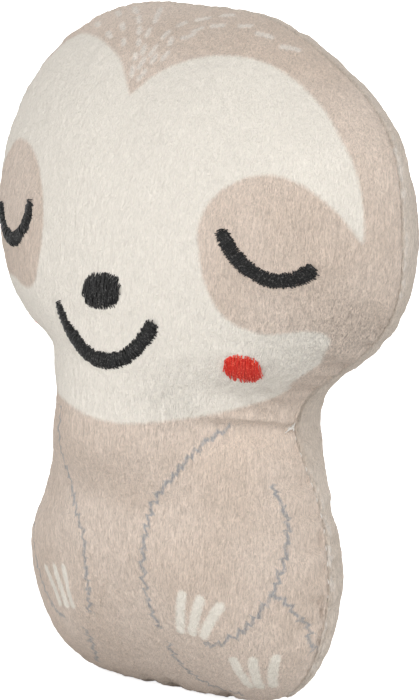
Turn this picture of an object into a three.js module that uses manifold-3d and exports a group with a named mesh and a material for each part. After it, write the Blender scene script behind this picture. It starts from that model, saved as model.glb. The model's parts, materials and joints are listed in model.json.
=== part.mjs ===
// Plush sloth cushion: a printed front panel and a plain back panel of short pile fabric,
// sewn together all round, turned through a side opening, stuffed with fibre and closed by
// hand. Millimetres, +Z up. The face looks along -Y and the sloth's own left is +X.
// It stands on its bottom seam, with the origin under its middle.

import * as THREE from 'three';
import { mergeVertices } from 'three/addons/utils/BufferGeometryUtils.js';
import Module from 'manifold-3d';

const wasm = await Module();
wasm.setup();

// Outline of the sewn bag, seen from the front
const HEIGHT = 170.5;
const HEAD_WIDTH = 125.2;
const HEAD_WIDEST_LEVEL = 118;
const NECK_WIDTH = 66;
const NECK_LEVEL = 70.5;
const BODY_WIDTH = 91.6;
const BODY_WIDEST_LEVEL = 31;
const BASE_CUT_DEPTH = 0.5;

// How far the outline's curves run on before they turn, as shares of the span they cross
const BOTTOM_FLAT_SHARE = 0.67;
const BOTTOM_CORNER_SHARE = 0.93;
const BODY_SIDE_SHARE = 0.22;
const NECK_BELOW_SHARE = 0.12;
const NECK_ABOVE_SHARE = 0.37;
const CHEEK_SIDE_SHARE = 0.74;
const TEMPLE_SHARE = 0.78;
const CROWN_FLAT_SHARE = 0.38;

// Thickness of the stuffed bag on its middle line, each side of the seam
const FRONT_BELLY_DEPTH = 29.5;
const FRONT_NECK_DEPTH = 34.8;
const FRONT_FACE_DEPTH = 34.5;
const FRONT_CROWN_DEPTH = 35;
const BACK_BELLY_DEPTH = 26.5;
const BACK_NECK_DEPTH = 30;
const BACK_HEAD_DEPTH = 32;
const BACK_CROWN_DEPTH = 33;

// Where the middle ridge of the bag ends, as shares of the body's and the head's height
const RIDGE_BELLY_SHARE = 0.69;
const RIDGE_CROWN_SHARE = 0.32;
const RIDGE_BLEND = 8;

// Power of the cross-section from ridge to seam: a half is round, more is more pointed
const FRONT_SWELL_SHARE = 0.66;
const BACK_SWELL_SHARE = 0.5;

// Fabric, seam and threads
const FABRIC_THICKNESS = 2;
const PANEL_GAP = 0.5;
const SEAM_ALLOWANCE = 6;
const THREAD_DIAMETER = 0.5;
const THREAD_CLEARANCE = 0.25;
const FIT_CLEARANCE = 0.3;
const STITCH_REACH = 1.1;
const STITCH_COUNT = 9;
const THREAD_TAIL = 2.5;
const THREAD_SIDES = 6;

// Embroidery on the face
const EMBROIDERY_SINK = 1;
const EMBROIDERY_RISE = 0.6;
const EYE_STROKE = 3.7;
const MOUTH_STROKE = 4.1;
const NOSE_WIDTH = 12.7;
const NOSE_HEIGHT = 9;
const CHEEK_WIDTH = 7.6;
const CHEEK_HEIGHT = 7.8;
const BACKING_THICKNESS = 0.5;

// Places on the face: share of the half head width across, share of neck to crown up
const LEFT_EYE_SHARES = [[0.49, 0.496], [0.531, 0.409], [0.726, 0.359], [0.809, 0.434]];
const MOUTH_SHARES = [[-0.247, 0.258], [-0.152, 0.111], [0.152, 0.111], [0.247, 0.258]];
const NOSE_SHARES = [0, 0.322];
const LEFT_CHEEK_SHARES = [0.536, 0.167];
const BACKING_CENTRE_SHARES = [0, 0.32];
const BACKING_HALF_SIZE_SHARES = [0.86, 0.25];

// How blunt the ends of an embroidered patch are: one is round, less is squarer
const STROKE_END_SHARE = 0.55;
const OVAL_END_SHARE = 0.9;

// Fineness of the faceted surfaces
const SECTION_STEPS = [6, 6, 8, 9];
const HALF_COLUMNS = SECTION_STEPS.reduce((sum, count) => sum + count, 0);
const COLUMNS = 2 * HALF_COLUMNS;
const RINGS = 8;
const LIP_STEPS = 3;
const PATCH_COLUMNS = 24;
const DOME_SHARES = [0, 0.5, 0.85, 1];
const FLAT_SHARES = [0, 1];
const BACKING_SEGMENTS = 24;
const STEPS_PER_STITCH = 8;
const SEARCH_STEPS = 32;

// Cutting tools run past what they cut by this much
const OVERRUN = 3;

const HALF_HEAD = HEAD_WIDTH / 2;
const HALF_NECK = NECK_WIDTH / 2;
const HALF_BODY = BODY_WIDTH / 2;
const HEAD_RISE = HEIGHT - NECK_LEVEL;
const RIDGE_LOW = NECK_LEVEL * RIDGE_BELLY_SHARE;
const RIDGE_HIGH = NECK_LEVEL + HEAD_RISE * RIDGE_CROWN_SHARE;
const FRONT_DEPTHS = [FRONT_BELLY_DEPTH, FRONT_NECK_DEPTH, FRONT_FACE_DEPTH, FRONT_CROWN_DEPTH];
const BACK_DEPTHS = [BACK_BELLY_DEPTH, BACK_NECK_DEPTH, BACK_HEAD_DEPTH, BACK_CROWN_DEPTH];

const COLOURS = {
  frontPanel: 0xcfc1b3,
  backPanel: 0xc6b9ad,
  filling: 0xf3f1ec,
  backing: 0xeeeeea,
  seamThread: 0xd9cec2,
  closingThread: 0xf7f4ef,
  darkThread: 0x3e3d3c,
  noseThread: 0x2e2e2b,
  cheekThread: 0xcb352d,
};

// The right half of the outline, from the bottom middle to the top middle
const HALF_OUTLINE = [
  curve(
    [0, 0],
    [HALF_BODY * BOTTOM_FLAT_SHARE, 0],
    [HALF_BODY, BODY_WIDEST_LEVEL * (1 - BOTTOM_CORNER_SHARE)],
    [HALF_BODY, BODY_WIDEST_LEVEL],
  ),
  curve(
    [HALF_BODY, BODY_WIDEST_LEVEL],
    [HALF_BODY, mix(BODY_WIDEST_LEVEL, NECK_LEVEL, BODY_SIDE_SHARE)],
    [HALF_NECK, mix(NECK_LEVEL, BODY_WIDEST_LEVEL, NECK_BELOW_SHARE)],
    [HALF_NECK, NECK_LEVEL],
  ),
  curve(
    [HALF_NECK, NECK_LEVEL],
    [HALF_NECK, mix(NECK_LEVEL, HEAD_WIDEST_LEVEL, NECK_ABOVE_SHARE)],
    [HALF_HEAD, mix(HEAD_WIDEST_LEVEL, NECK_LEVEL, CHEEK_SIDE_SHARE)],
    [HALF_HEAD, HEAD_WIDEST_LEVEL],
  ),
  curve(
    [HALF_HEAD, HEAD_WIDEST_LEVEL],
    [HALF_HEAD, mix(HEAD_WIDEST_LEVEL, HEIGHT, TEMPLE_SHARE)],
    [HALF_HEAD * CROWN_FLAT_SHARE, HEIGHT],
    [0, HEIGHT],
  ),
];

function mix(from, to, share) {
  return THREE.MathUtils.lerp(from, to, share);
}

function curve(start, startHandle, endHandle, end) {
  const points = [start, startHandle, endHandle, end].map(([across, up]) => new THREE.Vector2(across, up));
  return new THREE.CubicBezierCurve(...points);
}

// Point of the right half outline, with the direction that faces out of the bag
function halfRim(step) {
  let section = 0;
  let rest = step;
  while (section < SECTION_STEPS.length - 1 && rest > SECTION_STEPS[section]) {
    rest -= SECTION_STEPS[section];
    section += 1;
  }
  const share = Math.min(rest / SECTION_STEPS[section], 1);
  const point = HALF_OUTLINE[section].getPoint(share);
  const along = HALF_OUTLINE[section].getTangent(share);
  return { x: point.x, z: point.y, outX: along.y, outZ: -along.x };
}

// Point of the whole outline; columns count from the bottom middle up the +X side
function rimAt(column) {
  const turned = ((column % COLUMNS) + COLUMNS) % COLUMNS;
  if (turned <= HALF_COLUMNS) {
    return halfRim(turned);
  }
  const mirrored = halfRim(COLUMNS - turned);
  return { x: -mirrored.x, z: mirrored.z, outX: -mirrored.outX, outZ: mirrored.outZ };
}

function rimPoint(column, inset, y) {
  const rim = rimAt(column);
  return new THREE.Vector3(rim.x - inset * rim.outX, y, rim.z - inset * rim.outZ);
}

// Level on the middle ridge that a level of the outline belongs to
function ridgeLevel(level) {
  const share = THREE.MathUtils.smoothstep(level, RIDGE_LOW - RIDGE_BLEND, RIDGE_HIGH + RIDGE_BLEND);
  return mix(RIDGE_LOW, RIDGE_HIGH, share);
}

// Depth of the ridge at a level, eased between the named depths
function ridgeDepth(level, depths) {
  const spans = depths.length - 1;
  const place = (level - RIDGE_LOW) / (RIDGE_HIGH - RIDGE_LOW) * spans;
  const span = THREE.MathUtils.clamp(Math.floor(place), 0, spans - 1);
  return mix(depths[span], depths[span + 1], THREE.MathUtils.smoothstep(place - span, 0, 1));
}

// One of the bag's nested surfaces: its side, how far it lies inside the outer one, and
// how far from the seam plane its rim is
function layer(side, inset, rimOffset) {
  const depths = side < 0 ? FRONT_DEPTHS : BACK_DEPTHS;
  const power = side < 0 ? FRONT_SWELL_SHARE : BACK_SWELL_SHARE;
  return { side, inset, rimOffset, depths, power };
}

function swellDepth(form, reach, ridge) {
  const swell = (1 - reach * reach) ** form.power;
  return form.rimOffset + swell * (ridgeDepth(ridge, form.depths) - form.inset - form.rimOffset);
}

// Point of a nested surface: ring 0 is the ridge and the last ring is the rim
function layerPoint(form, column, ring) {
  const rim = rimAt(column);
  const reach = ring === RINGS ? 1 : Math.sin(ring / RINGS * Math.PI / 2);
  const ridge = ridgeLevel(rim.z);
  const across = rim.x - form.inset * rim.outX;
  const up = rim.z - form.inset * rim.outZ - ridge;
  return new THREE.Vector3(reach * across, form.side * swellDepth(form, reach, ridge), ridge + reach * up);
}

// Closed body from rows of points, where each row runs once round all columns. Each facet
// with four corners is split along its shorter diagonal, so nested layers split alike.
function closedGrid(columns, rowCount, pointAt) {
  const corners = [];
  for (let row = 0; row < rowCount - 1; row += 1) {
    for (let column = 0; column < columns; column += 1) {
      const next = (column + 1) % columns;
      const a = pointAt(column, row);
      const b = pointAt(next, row);
      const c = pointAt(next, row + 1);
      const d = pointAt(column, row + 1);
      const facets = a.distanceTo(c) < b.distanceTo(d) ? [a, b, c, a, c, d] : [a, b, d, b, c, d];
      corners.push(...facets);
    }
  }
  return new THREE.BufferGeometry().setFromPoints(corners);
}

// Solid for cutting, with shared corners merged and collapsed triangles left out
function solidOf(geometry) {
  const bare = new THREE.BufferGeometry();
  bare.setAttribute('position', geometry.attributes.position);
  bare.setIndex(geometry.index);
  const welded = mergeVertices(bare);
  const corners = welded.index.array;
  const kept = [];
  for (let i = 0; i < corners.length; i += 3) {
    const [a, b, c] = [corners[i], corners[i + 1], corners[i + 2]];
    if (a !== b && b !== c && c !== a) {
      kept.push(a, b, c);
    }
  }
  const vertProperties = new Float32Array(welded.attributes.position.array);
  return new wasm.Manifold(new wasm.Mesh({ numProp: 3, vertProperties, triVerts: new Uint32Array(kept) }));
}

function geometryOf(solid) {
  const mesh = solid.getMesh();
  const geometry = new THREE.BufferGeometry();
  geometry.setAttribute('position', new THREE.BufferAttribute(new Float32Array(mesh.vertProperties), 3));
  geometry.setIndex(new THREE.BufferAttribute(new Uint32Array(mesh.triVerts), 1));
  const faceted = geometry.toNonIndexed();
  faceted.computeVertexNormals();
  return faceted;
}

function boxSolid(low, high) {
  const size = new THREE.Vector3().subVectors(high, low);
  const box = new THREE.BoxGeometry(size.x, size.y, size.z);
  box.translate(low.x + size.x / 2, low.y + size.y / 2, low.z + size.z / 2);
  return solidOf(box);
}

// Box wider and deeper than the bag, between two levels
function levelBox(low, high) {
  const reachX = HALF_HEAD + HALF_BODY + OVERRUN;
  const reachY = Math.max(...FRONT_DEPTHS, ...BACK_DEPTHS) + OVERRUN;
  return boxSolid(new THREE.Vector3(-reachX, -reachY, low), new THREE.Vector3(reachX, reachY, high));
}

// Rows of one panel: outer skin, rolled lip, seam allowance turned inside, inner skin
function panelRows(side) {
  const rimOffset = PANEL_GAP / 2 + FABRIC_THICKNESS;
  const outer = layer(side, 0, rimOffset);
  const inner = layer(side, FABRIC_THICKNESS, rimOffset);
  const rows = [];
  for (let ring = 0; ring <= RINGS; ring += 1) {
    rows.push((column) => layerPoint(outer, column, ring));
  }
  for (let step = 1; step <= LIP_STEPS; step += 1) {
    const turn = step / LIP_STEPS * Math.PI / 2;
    const inset = FABRIC_THICKNESS * (1 - Math.cos(turn));
    const y = side * (rimOffset - FABRIC_THICKNESS * Math.sin(turn));
    rows.push((column) => rimPoint(column, inset, y));
  }
  rows.push((column) => rimPoint(column, SEAM_ALLOWANCE, side * PANEL_GAP / 2));
  rows.push((column) => rimPoint(column, SEAM_ALLOWANCE, side * rimOffset));
  for (let ring = RINGS; ring >= 0; ring -= 1) {
    rows.push((column) => layerPoint(inner, column, ring));
  }
  return rows;
}

function formOfRows(rows, reversed) {
  return closedGrid(COLUMNS, rows.length, (column, row) => rows[row](reversed ? -column : column));
}

function makePanel(side) {
  const floor = levelBox(-OVERRUN, BASE_CUT_DEPTH);
  return solidOf(formOfRows(panelRows(side), side < 0)).subtract(floor);
}

// Fibre filling of the whole bag, with a notch all round for the seam allowances
function makeFilling() {
  const inset = FABRIC_THICKNESS + FIT_CLEARANCE;
  const rimOffset = PANEL_GAP / 2 + FABRIC_THICKNESS + FIT_CLEARANCE;
  const front = layer(-1, inset, rimOffset);
  const back = layer(1, inset, rimOffset);
  const notch = SEAM_ALLOWANCE + FIT_CLEARANCE;
  const rows = [];
  for (let ring = 0; ring <= RINGS; ring += 1) {
    rows.push((column) => layerPoint(front, column, ring));
  }
  rows.push((column) => rimPoint(column, notch, -rimOffset));
  rows.push((column) => rimPoint(column, notch, rimOffset));
  for (let ring = RINGS; ring >= 0; ring -= 1) {
    rows.push((column) => layerPoint(back, column, ring));
  }
  return solidOf(formOfRows(rows, true));
}

// Place on the face from its shares of the head
function faceSpot([acrossShare, upShare]) {
  return new THREE.Vector2(acrossShare * HALF_HEAD, NECK_LEVEL + upShare * HEAD_RISE);
}

// Depth of the front skin at a place of the face, found along the outline's columns
function faceDepth(x, z) {
  const across = Math.abs(x);
  let low = 0;
  let high = HALF_COLUMNS;
  for (let i = 0; i < SEARCH_STEPS; i += 1) {
    const middle = (low + high) / 2;
    const rim = halfRim(middle);
    const ridge = ridgeLevel(rim.z);
    const beyond = rim.x * (z - ridge) - (rim.z - ridge) * across > 0;
    low = beyond ? middle : low;
    high = beyond ? high : middle;
  }
  const rim = halfRim(low);
  const ridge = ridgeLevel(rim.z);
  const reach = Math.min(Math.hypot(across, z - ridge) / Math.hypot(rim.x, rim.z - ridge), 1);
  return swellDepth(layer(-1, 0, PANEL_GAP / 2 + FABRIC_THICKNESS), reach, ridge);
}

// Point a given lift off the front skin, square to it
function facePoint(spot, lift) {
  const depth = faceDepth(spot.x, spot.y);
  const sideSlope = (faceDepth(spot.x + FIT_CLEARANCE, spot.y) - depth) / FIT_CLEARANCE;
  const upSlope = (faceDepth(spot.x, spot.y + FIT_CLEARANCE) - depth) / FIT_CLEARANCE;
  const out = new THREE.Vector3(-sideSlope, -1, -upSlope).normalize();
  return new THREE.Vector3(spot.x, -depth, spot.y).addScaledVector(out, lift);
}

function eased(value, endShare) {
  return Math.sign(value) * Math.abs(value) ** endShare;
}

// Outline of a stroke along a curve of the face: place of a column at a share of its width
function strokeSpot(path, width, turn, share) {
  const along = (1 - eased(Math.cos(turn), STROKE_END_SHARE)) / 2;
  const point = path.getPoint(along);
  const tangent = path.getTangent(along);
  const aside = eased(Math.sin(turn), STROKE_END_SHARE) * width / 2 * share;
  return new THREE.Vector2(point.x - tangent.y * aside, point.y + tangent.x * aside);
}

function ovalSpot(centre, width, height, turn, share) {
  const across = eased(Math.cos(turn), OVAL_END_SHARE) * width / 2 * share;
  const up = eased(Math.sin(turn), OVAL_END_SHARE) * height / 2 * share;
  return new THREE.Vector2(centre.x - across, centre.y + up);
}

// Layer of thread that follows the face, domed on top and flat below
function patch(shares, spotAt, top, dome, bottom) {
  const rows = [
    ...shares.map((share) => [share, top + dome * Math.sqrt(1 - share * share)]),
    ...shares.toReversed().map((share) => [share, bottom]),
  ];
  const pointAt = (column, row) => {
    const [share, lift] = rows[row];
    return facePoint(spotAt(column / PATCH_COLUMNS * Math.PI * 2, share), lift);
  };
  return solidOf(closedGrid(PATCH_COLUMNS, rows.length, pointAt));
}

function embroidery(spotAt) {
  const thread = (turn, share) => spotAt(0, turn, share);
  const pocket = (turn, share) => spotAt(2 * FIT_CLEARANCE, turn, share);
  return {
    solid: patch(DOME_SHARES, thread, 0, EMBROIDERY_RISE, -EMBROIDERY_SINK),
    cutter: patch(FLAT_SHARES, pocket, OVERRUN, 0, -EMBROIDERY_SINK - FIT_CLEARANCE),
  };
}

function makeStroke(shares, width) {
  const path = new THREE.CubicBezierCurve(...shares.map(faceSpot));
  return embroidery((extra, turn, share) => strokeSpot(path, width + extra, turn, share));
}

function makeOval(shares, width, height) {
  const centre = faceSpot(shares);
  return embroidery((extra, turn, share) => ovalSpot(centre, width + extra, height + extra, turn, share));
}

function mirrored(shares) {
  return shares.map(([across, up]) => [-across, up]).toReversed();
}

// Upright oval column through the face, wider than the backing's outline by a margin
function faceColumn(margin) {
  const centre = faceSpot(BACKING_CENTRE_SHARES);
  const halfWidth = BACKING_HALF_SIZE_SHARES[0] * HALF_HEAD + margin;
  const halfHeight = BACKING_HALF_SIZE_SHARES[1] * HEAD_RISE + margin;
  const oval = new THREE.Shape().absellipse(centre.x, centre.y, halfWidth, halfHeight, 0, Math.PI * 2);
  const depth = Math.max(...FRONT_DEPTHS) + OVERRUN;
  const settings = { depth, bevelEnabled: false, curveSegments: BACKING_SEGMENTS };
  return solidOf(new THREE.ExtrudeGeometry(oval, settings).rotateX(Math.PI / 2));
}

// Sheet between two nested surfaces of the front, cut to the oval of the face
function faceSheet(outerInset, innerInset, margin) {
  const outer = layer(-1, outerInset, PANEL_GAP / 2 + outerInset);
  const inner = layer(-1, innerInset, PANEL_GAP / 2 + innerInset);
  const rows = [];
  for (let ring = 0; ring < RINGS; ring += 1) {
    rows.push((column) => layerPoint(outer, column, ring));
  }
  for (let ring = RINGS - 1; ring >= 0; ring -= 1) {
    rows.push((column) => layerPoint(inner, column, ring));
  }
  return solidOf(formOfRows(rows, true)).intersect(faceColumn(margin));
}

// Stitches along the outline, one column of the outline after another
class SeamLine extends THREE.Curve {
  constructor(from, to, placeAt) {
    super();
    this.from = from;
    this.to = to;
    this.placeAt = placeAt;
  }

  getPoint(share, target = new THREE.Vector3()) {
    return target.copy(this.placeAt(mix(this.from, this.to, share), share));
  }

  getUtoTmapping(share) {
    return share;
  }
}

// How deep a thread lies below the seam's edge where it rests on the rolled lips
function threadInset(y) {
  const reach = FABRIC_THICKNESS + THREAD_CLEARANCE + THREAD_DIAMETER / 2;
  const aside = PANEL_GAP / 2 + FABRIC_THICKNESS - Math.abs(y);
  return FABRIC_THICKNESS - Math.sqrt(reach * reach - aside * aside);
}

function threadAlong(line, steps) {
  const section = new THREE.Shape();
  for (let side = 0; side < THREAD_SIDES; side += 1) {
    const turn = side / THREAD_SIDES * Math.PI * 2;
    const x = THREAD_DIAMETER / 2 * Math.cos(turn);
    const y = THREAD_DIAMETER / 2 * Math.sin(turn);
    if (side === 0) {
      section.moveTo(x, y);
    } else {
      section.lineTo(x, y);
    }
  }
  return new THREE.ExtrudeGeometry(section, { steps, extrudePath: line, curveSegments: 1 });
}

// The machine seam runs from the neck over the head and under the body to the opening
const OPENING_FROM = SECTION_STEPS[0];
const OPENING_TO = SECTION_STEPS[0] + SECTION_STEPS[1];

function makeSeamThread() {
  const placeAt = (column) => rimPoint(column, threadInset(0), 0);
  return threadAlong(new SeamLine(OPENING_TO, COLUMNS + OPENING_FROM, placeAt), COLUMNS - SECTION_STEPS[1]);
}

// Hand stitches that close the opening, ending in a short tail at the neck
function makeClosingThread() {
  const margin = THREAD_DIAMETER / NECK_LEVEL * COLUMNS;
  const placeAt = (column, share) => {
    const y = STITCH_REACH * Math.sin(share * STITCH_COUNT * Math.PI);
    const tail = THREAD_TAIL * THREE.MathUtils.smoothstep(share, 1 - 1 / STITCH_COUNT, 1);
    return rimPoint(column, threadInset(y) - tail, y);
  };
  const line = new SeamLine(OPENING_FROM + margin, OPENING_TO - margin, placeAt);
  return threadAlong(line, STITCH_COUNT * STEPS_PER_STITCH);
}

function piece(name, geometry, color, roughness) {
  const material = new THREE.MeshStandardMaterial({ color, roughness, metalness: 0 });
  const mesh = new THREE.Mesh(geometry, material);
  mesh.name = name;
  return mesh;
}

function makeFace() {
  return {
    left_eye: makeStroke(LEFT_EYE_SHARES, EYE_STROKE),
    right_eye: makeStroke(mirrored(LEFT_EYE_SHARES), EYE_STROKE),
    mouth: makeStroke(MOUTH_SHARES, MOUTH_STROKE),
    nose: makeOval(NOSE_SHARES, NOSE_WIDTH, NOSE_HEIGHT),
    left_cheek: makeOval(LEFT_CHEEK_SHARES, CHEEK_WIDTH, CHEEK_HEIGHT),
    right_cheek: makeOval(mirrored([LEFT_CHEEK_SHARES])[0], CHEEK_WIDTH, CHEEK_HEIGHT),
  };
}

function faceColour(name) {
  if (name.endsWith('cheek')) {
    return COLOURS.cheekThread;
  }
  return name === 'nose' ? COLOURS.noseThread : COLOURS.darkThread;
}

function makeBag() {
  const face = makeFace();
  const backingTop = FABRIC_THICKNESS + FIT_CLEARANCE;
  const backingBottom = backingTop + BACKING_THICKNESS;
  const backing = faceSheet(backingTop, backingBottom, 0);
  const backingRoom = faceSheet(0, backingBottom + FIT_CLEARANCE, FIT_CLEARANCE);
  const filling = makeFilling();
  const headZone = levelBox(NECK_LEVEL + FIT_CLEARANCE / 2, HEIGHT + OVERRUN);
  const bodyZone = levelBox(-OVERRUN, NECK_LEVEL - FIT_CLEARANCE / 2);
  let frontPanel = makePanel(-1);
  for (const { cutter } of Object.values(face)) {
    frontPanel = frontPanel.subtract(cutter);
  }
  const bag = new THREE.Group();
  bag.add(
    piece('front_panel', geometryOf(frontPanel), COLOURS.frontPanel, 0.95),
    piece('back_panel', geometryOf(makePanel(1)), COLOURS.backPanel, 0.95),
    piece('head_filling', geometryOf(filling.intersect(headZone).subtract(backingRoom)), COLOURS.filling, 1),
    piece('body_filling', geometryOf(filling.intersect(bodyZone)), COLOURS.filling, 1),
    piece('face_backing', geometryOf(backing), COLOURS.backing, 0.9),
    piece('seam_thread', makeSeamThread(), COLOURS.seamThread, 0.7),
    piece('closing_thread', makeClosingThread(), COLOURS.closingThread, 0.6),
  );
  for (const [name, { solid }] of Object.entries(face)) {
    bag.add(piece(name, geometryOf(solid), faceColour(name), 0.55));
  }
  return bag;
}

// The bag stands on its cut base, with its box centred over the origin
function makePlushSloth() {
  const bag = makeBag();
  const box = new THREE.Box3().setFromObject(bag);
  bag.position.set(0, -(box.min.y + box.max.y) / 2, -BASE_CUT_DEPTH);
  const plush = new THREE.Group();
  plush.name = 'plush_sloth';
  plush.add(bag);
  return plush;
}

export default makePlushSloth();
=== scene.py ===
"""Plush sloth cushion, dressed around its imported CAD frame.

Two panels of short pile fabric, a printed front and a plain back, are sewn together all
round, stuffed with fibre and closed by hand at one side. The face is satin stitch. Sizes
are in millimetres until a mesh is written, the face looks along -Y and +Z is up.
"""

from __future__ import annotations

import json
import logging
import math
import random
from dataclasses import dataclass, field, replace
from enum import Enum
from typing import Callable, Sequence

import bmesh
import bpy
import numpy as np
from mathutils import Matrix, Vector, noise
from mathutils.bvhtree import BVHTree
from mathutils.kdtree import KDTree

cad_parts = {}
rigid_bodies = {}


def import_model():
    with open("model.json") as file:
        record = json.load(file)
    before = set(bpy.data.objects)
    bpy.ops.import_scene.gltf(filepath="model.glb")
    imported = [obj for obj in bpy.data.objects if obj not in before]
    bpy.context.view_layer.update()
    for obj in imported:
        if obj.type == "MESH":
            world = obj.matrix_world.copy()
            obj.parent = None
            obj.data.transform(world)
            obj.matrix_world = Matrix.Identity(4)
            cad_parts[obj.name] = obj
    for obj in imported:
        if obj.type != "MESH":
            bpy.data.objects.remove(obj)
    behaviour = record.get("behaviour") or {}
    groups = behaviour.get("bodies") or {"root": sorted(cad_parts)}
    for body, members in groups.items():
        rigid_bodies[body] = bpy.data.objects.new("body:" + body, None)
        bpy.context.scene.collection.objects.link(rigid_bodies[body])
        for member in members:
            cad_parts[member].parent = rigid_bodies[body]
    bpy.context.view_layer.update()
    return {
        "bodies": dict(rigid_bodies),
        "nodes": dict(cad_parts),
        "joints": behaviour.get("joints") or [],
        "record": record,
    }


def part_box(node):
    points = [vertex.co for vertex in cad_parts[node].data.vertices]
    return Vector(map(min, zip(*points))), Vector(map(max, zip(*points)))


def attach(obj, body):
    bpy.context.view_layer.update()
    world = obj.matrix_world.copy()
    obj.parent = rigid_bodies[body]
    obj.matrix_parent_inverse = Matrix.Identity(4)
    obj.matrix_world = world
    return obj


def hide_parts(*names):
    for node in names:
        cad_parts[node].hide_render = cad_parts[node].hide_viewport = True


LOG = logging.getLogger("plush_sloth")

MM = 0.001
BODY = "root"
IMAGE_SIZE = (420, 700)
SEED = 71
QUARTER_TURN = math.pi / 2
WHITE = (1.0, 1.0, 1.0, 1.0)
# Vertices this close together are one, and faces this narrow are dropped.
MERGE_GAP = 0.004
SLIVER = 0.002
# How many straight pieces measure one span of a smooth line.
SPAN_PIECES = 12
# Stand-ins for almost nothing and for a distance beyond every real one.
TINY = 1e-9
FAR = 1e9

Number = float | np.ndarray
Place = tuple[float, float]
SurfacePoint = tuple[Vector, Vector]
Thread = list[tuple[Vector, float]]
Socket = bpy.types.NodeSocket


class Panel(Enum):
    """The two panels of the bag, by the side of the seam that they lie on."""

    FRONT = -1
    BACK = 1


def linear(colour: str) -> tuple[float, float, float, float]:
    """Turns an sRGB hex colour into linear values.

    Args:
        colour: six hex digits after a hash.

    Returns:
        Red, green, blue and an alpha of one.
    """
    parts = [int(colour[i : i + 2], 16) / 255 for i in (1, 3, 5)]
    curve = [c / 12.92 if c <= 0.04045 else ((c + 0.055) / 1.055) ** 2.4 for c in parts]
    return (*curve, 1.0)


def mix(start: Number, end: Number, share: Number) -> Number:
    """The value a share of the way from start to end."""
    return start + (end - start) * share


def ease(value: np.ndarray, low: float, high: float) -> np.ndarray:
    """Rises smoothly from 0 at low to 1 at high.

    Args:
        value: the numbers to place between low and high.
        low: where the rise starts.
        high: where the rise ends.

    Returns:
        The eased shares.
    """
    share = np.clip((value - low) / (high - low), 0, 1)
    return share * share * (3 - 2 * share)


def add_node(
    tree: bpy.types.NodeTree, kind: str, inputs: dict | None = None, **settings: object
) -> bpy.types.Node:
    """Adds one shader node with its settings, values and links.

    Args:
        tree: the node tree that takes the node.
        kind: the node's type name, without its ShaderNode prefix.
        inputs: a value or an output socket for each input, by name or number.
        settings: the node's own properties.

    Returns:
        The new node.
    """
    made = tree.nodes.new("ShaderNode" + kind)
    for name, value in settings.items():
        setattr(made, name, value)
    for name, value in (inputs or {}).items():
        if isinstance(value, bpy.types.NodeSocket):
            tree.links.new(value, made.inputs[name])
        else:
            made.inputs[name].default_value = value
    return made


def new_material(name: str) -> tuple[bpy.types.Material, bpy.types.NodeTree, bpy.types.Node]:
    """Makes an empty node material with an output.

    Args:
        name: what the material really is.

    Returns:
        The material, its node tree and its output node.
    """
    material = bpy.data.materials.new(name)
    material.use_nodes = True
    tree = material.node_tree
    tree.nodes.clear()
    return material, tree, add_node(tree, "OutputMaterial")


def grain_noise(
    tree: bpy.types.NodeTree,
    size: tuple[float, float, float],
    detail: float,
    curl: float = 0.0,
    roughness: float = 0.5,
    turn: tuple[float, float, float] = (0.0, 0.0, 0.0),
) -> Socket:
    """Noise on Object coordinates whose grains have a real size.

    Args:
        tree: the material's nodes.
        size: a grain's size along x, y and z, in millimetres.
        detail: how many finer layers of noise lie on it.
        curl: how far its grains curl.
        roughness: how strong the finer layers are.
        turn: how far the pattern is turned about each axis, in radians.

    Returns:
        The noise's factor.
    """
    place = add_node(tree, "TexCoord").outputs["Object"]
    scale = [1 / (part * MM) for part in size]
    turned = add_node(tree, "Mapping", {"Vector": place, "Rotation": turn, "Scale": scale})
    made = add_node(
        tree,
        "TexNoise",
        {
            "Vector": turned.outputs[0],
            "Scale": 1.0,
            "Detail": detail,
            "Roughness": roughness,
            "Distortion": curl,
        },
    )
    return made.outputs["Fac"]


def between(
    before: np.ndarray, start: np.ndarray, end: np.ndarray, after: np.ndarray, share: np.ndarray
) -> np.ndarray:
    """Points of the smooth curve from start to end that also heeds their neighbours.

    Args:
        before: what comes before the start.
        start: where the curve starts.
        end: where it ends.
        after: what comes after the end.
        share: how far along the curve each point is, from 0 to 1.

    Returns:
        The points.
    """
    slope = end - before
    bow = 2 * before - 5 * start + 4 * end - after
    twist = 3 * start - before - 3 * end + after
    return (2 * start + slope * share + bow * share**2 + twist * share**3) / 2


def read_smoothly(grid: np.ndarray, place: np.ndarray, axis: int, wraps: bool) -> np.ndarray:
    """Reads a grid of numbers between its entries along one axis.

    Args:
        grid: the numbers.
        place: where to read, in entries.
        axis: the axis to read along.
        wraps: whether the last entry is followed by the first.

    Returns:
        The numbers there, on a smooth curve through the entries.
    """
    base = np.floor(place).astype(int)
    share = (place - base).reshape([-1 if k == axis else 1 for k in range(grid.ndim)])
    size = grid.shape[axis]
    near = [(base + k) % size if wraps else np.clip(base + k, 0, size - 1) for k in (-1, 0, 1, 2)]
    return between(*(np.take(grid, index, axis=axis) for index in near), share)


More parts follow.
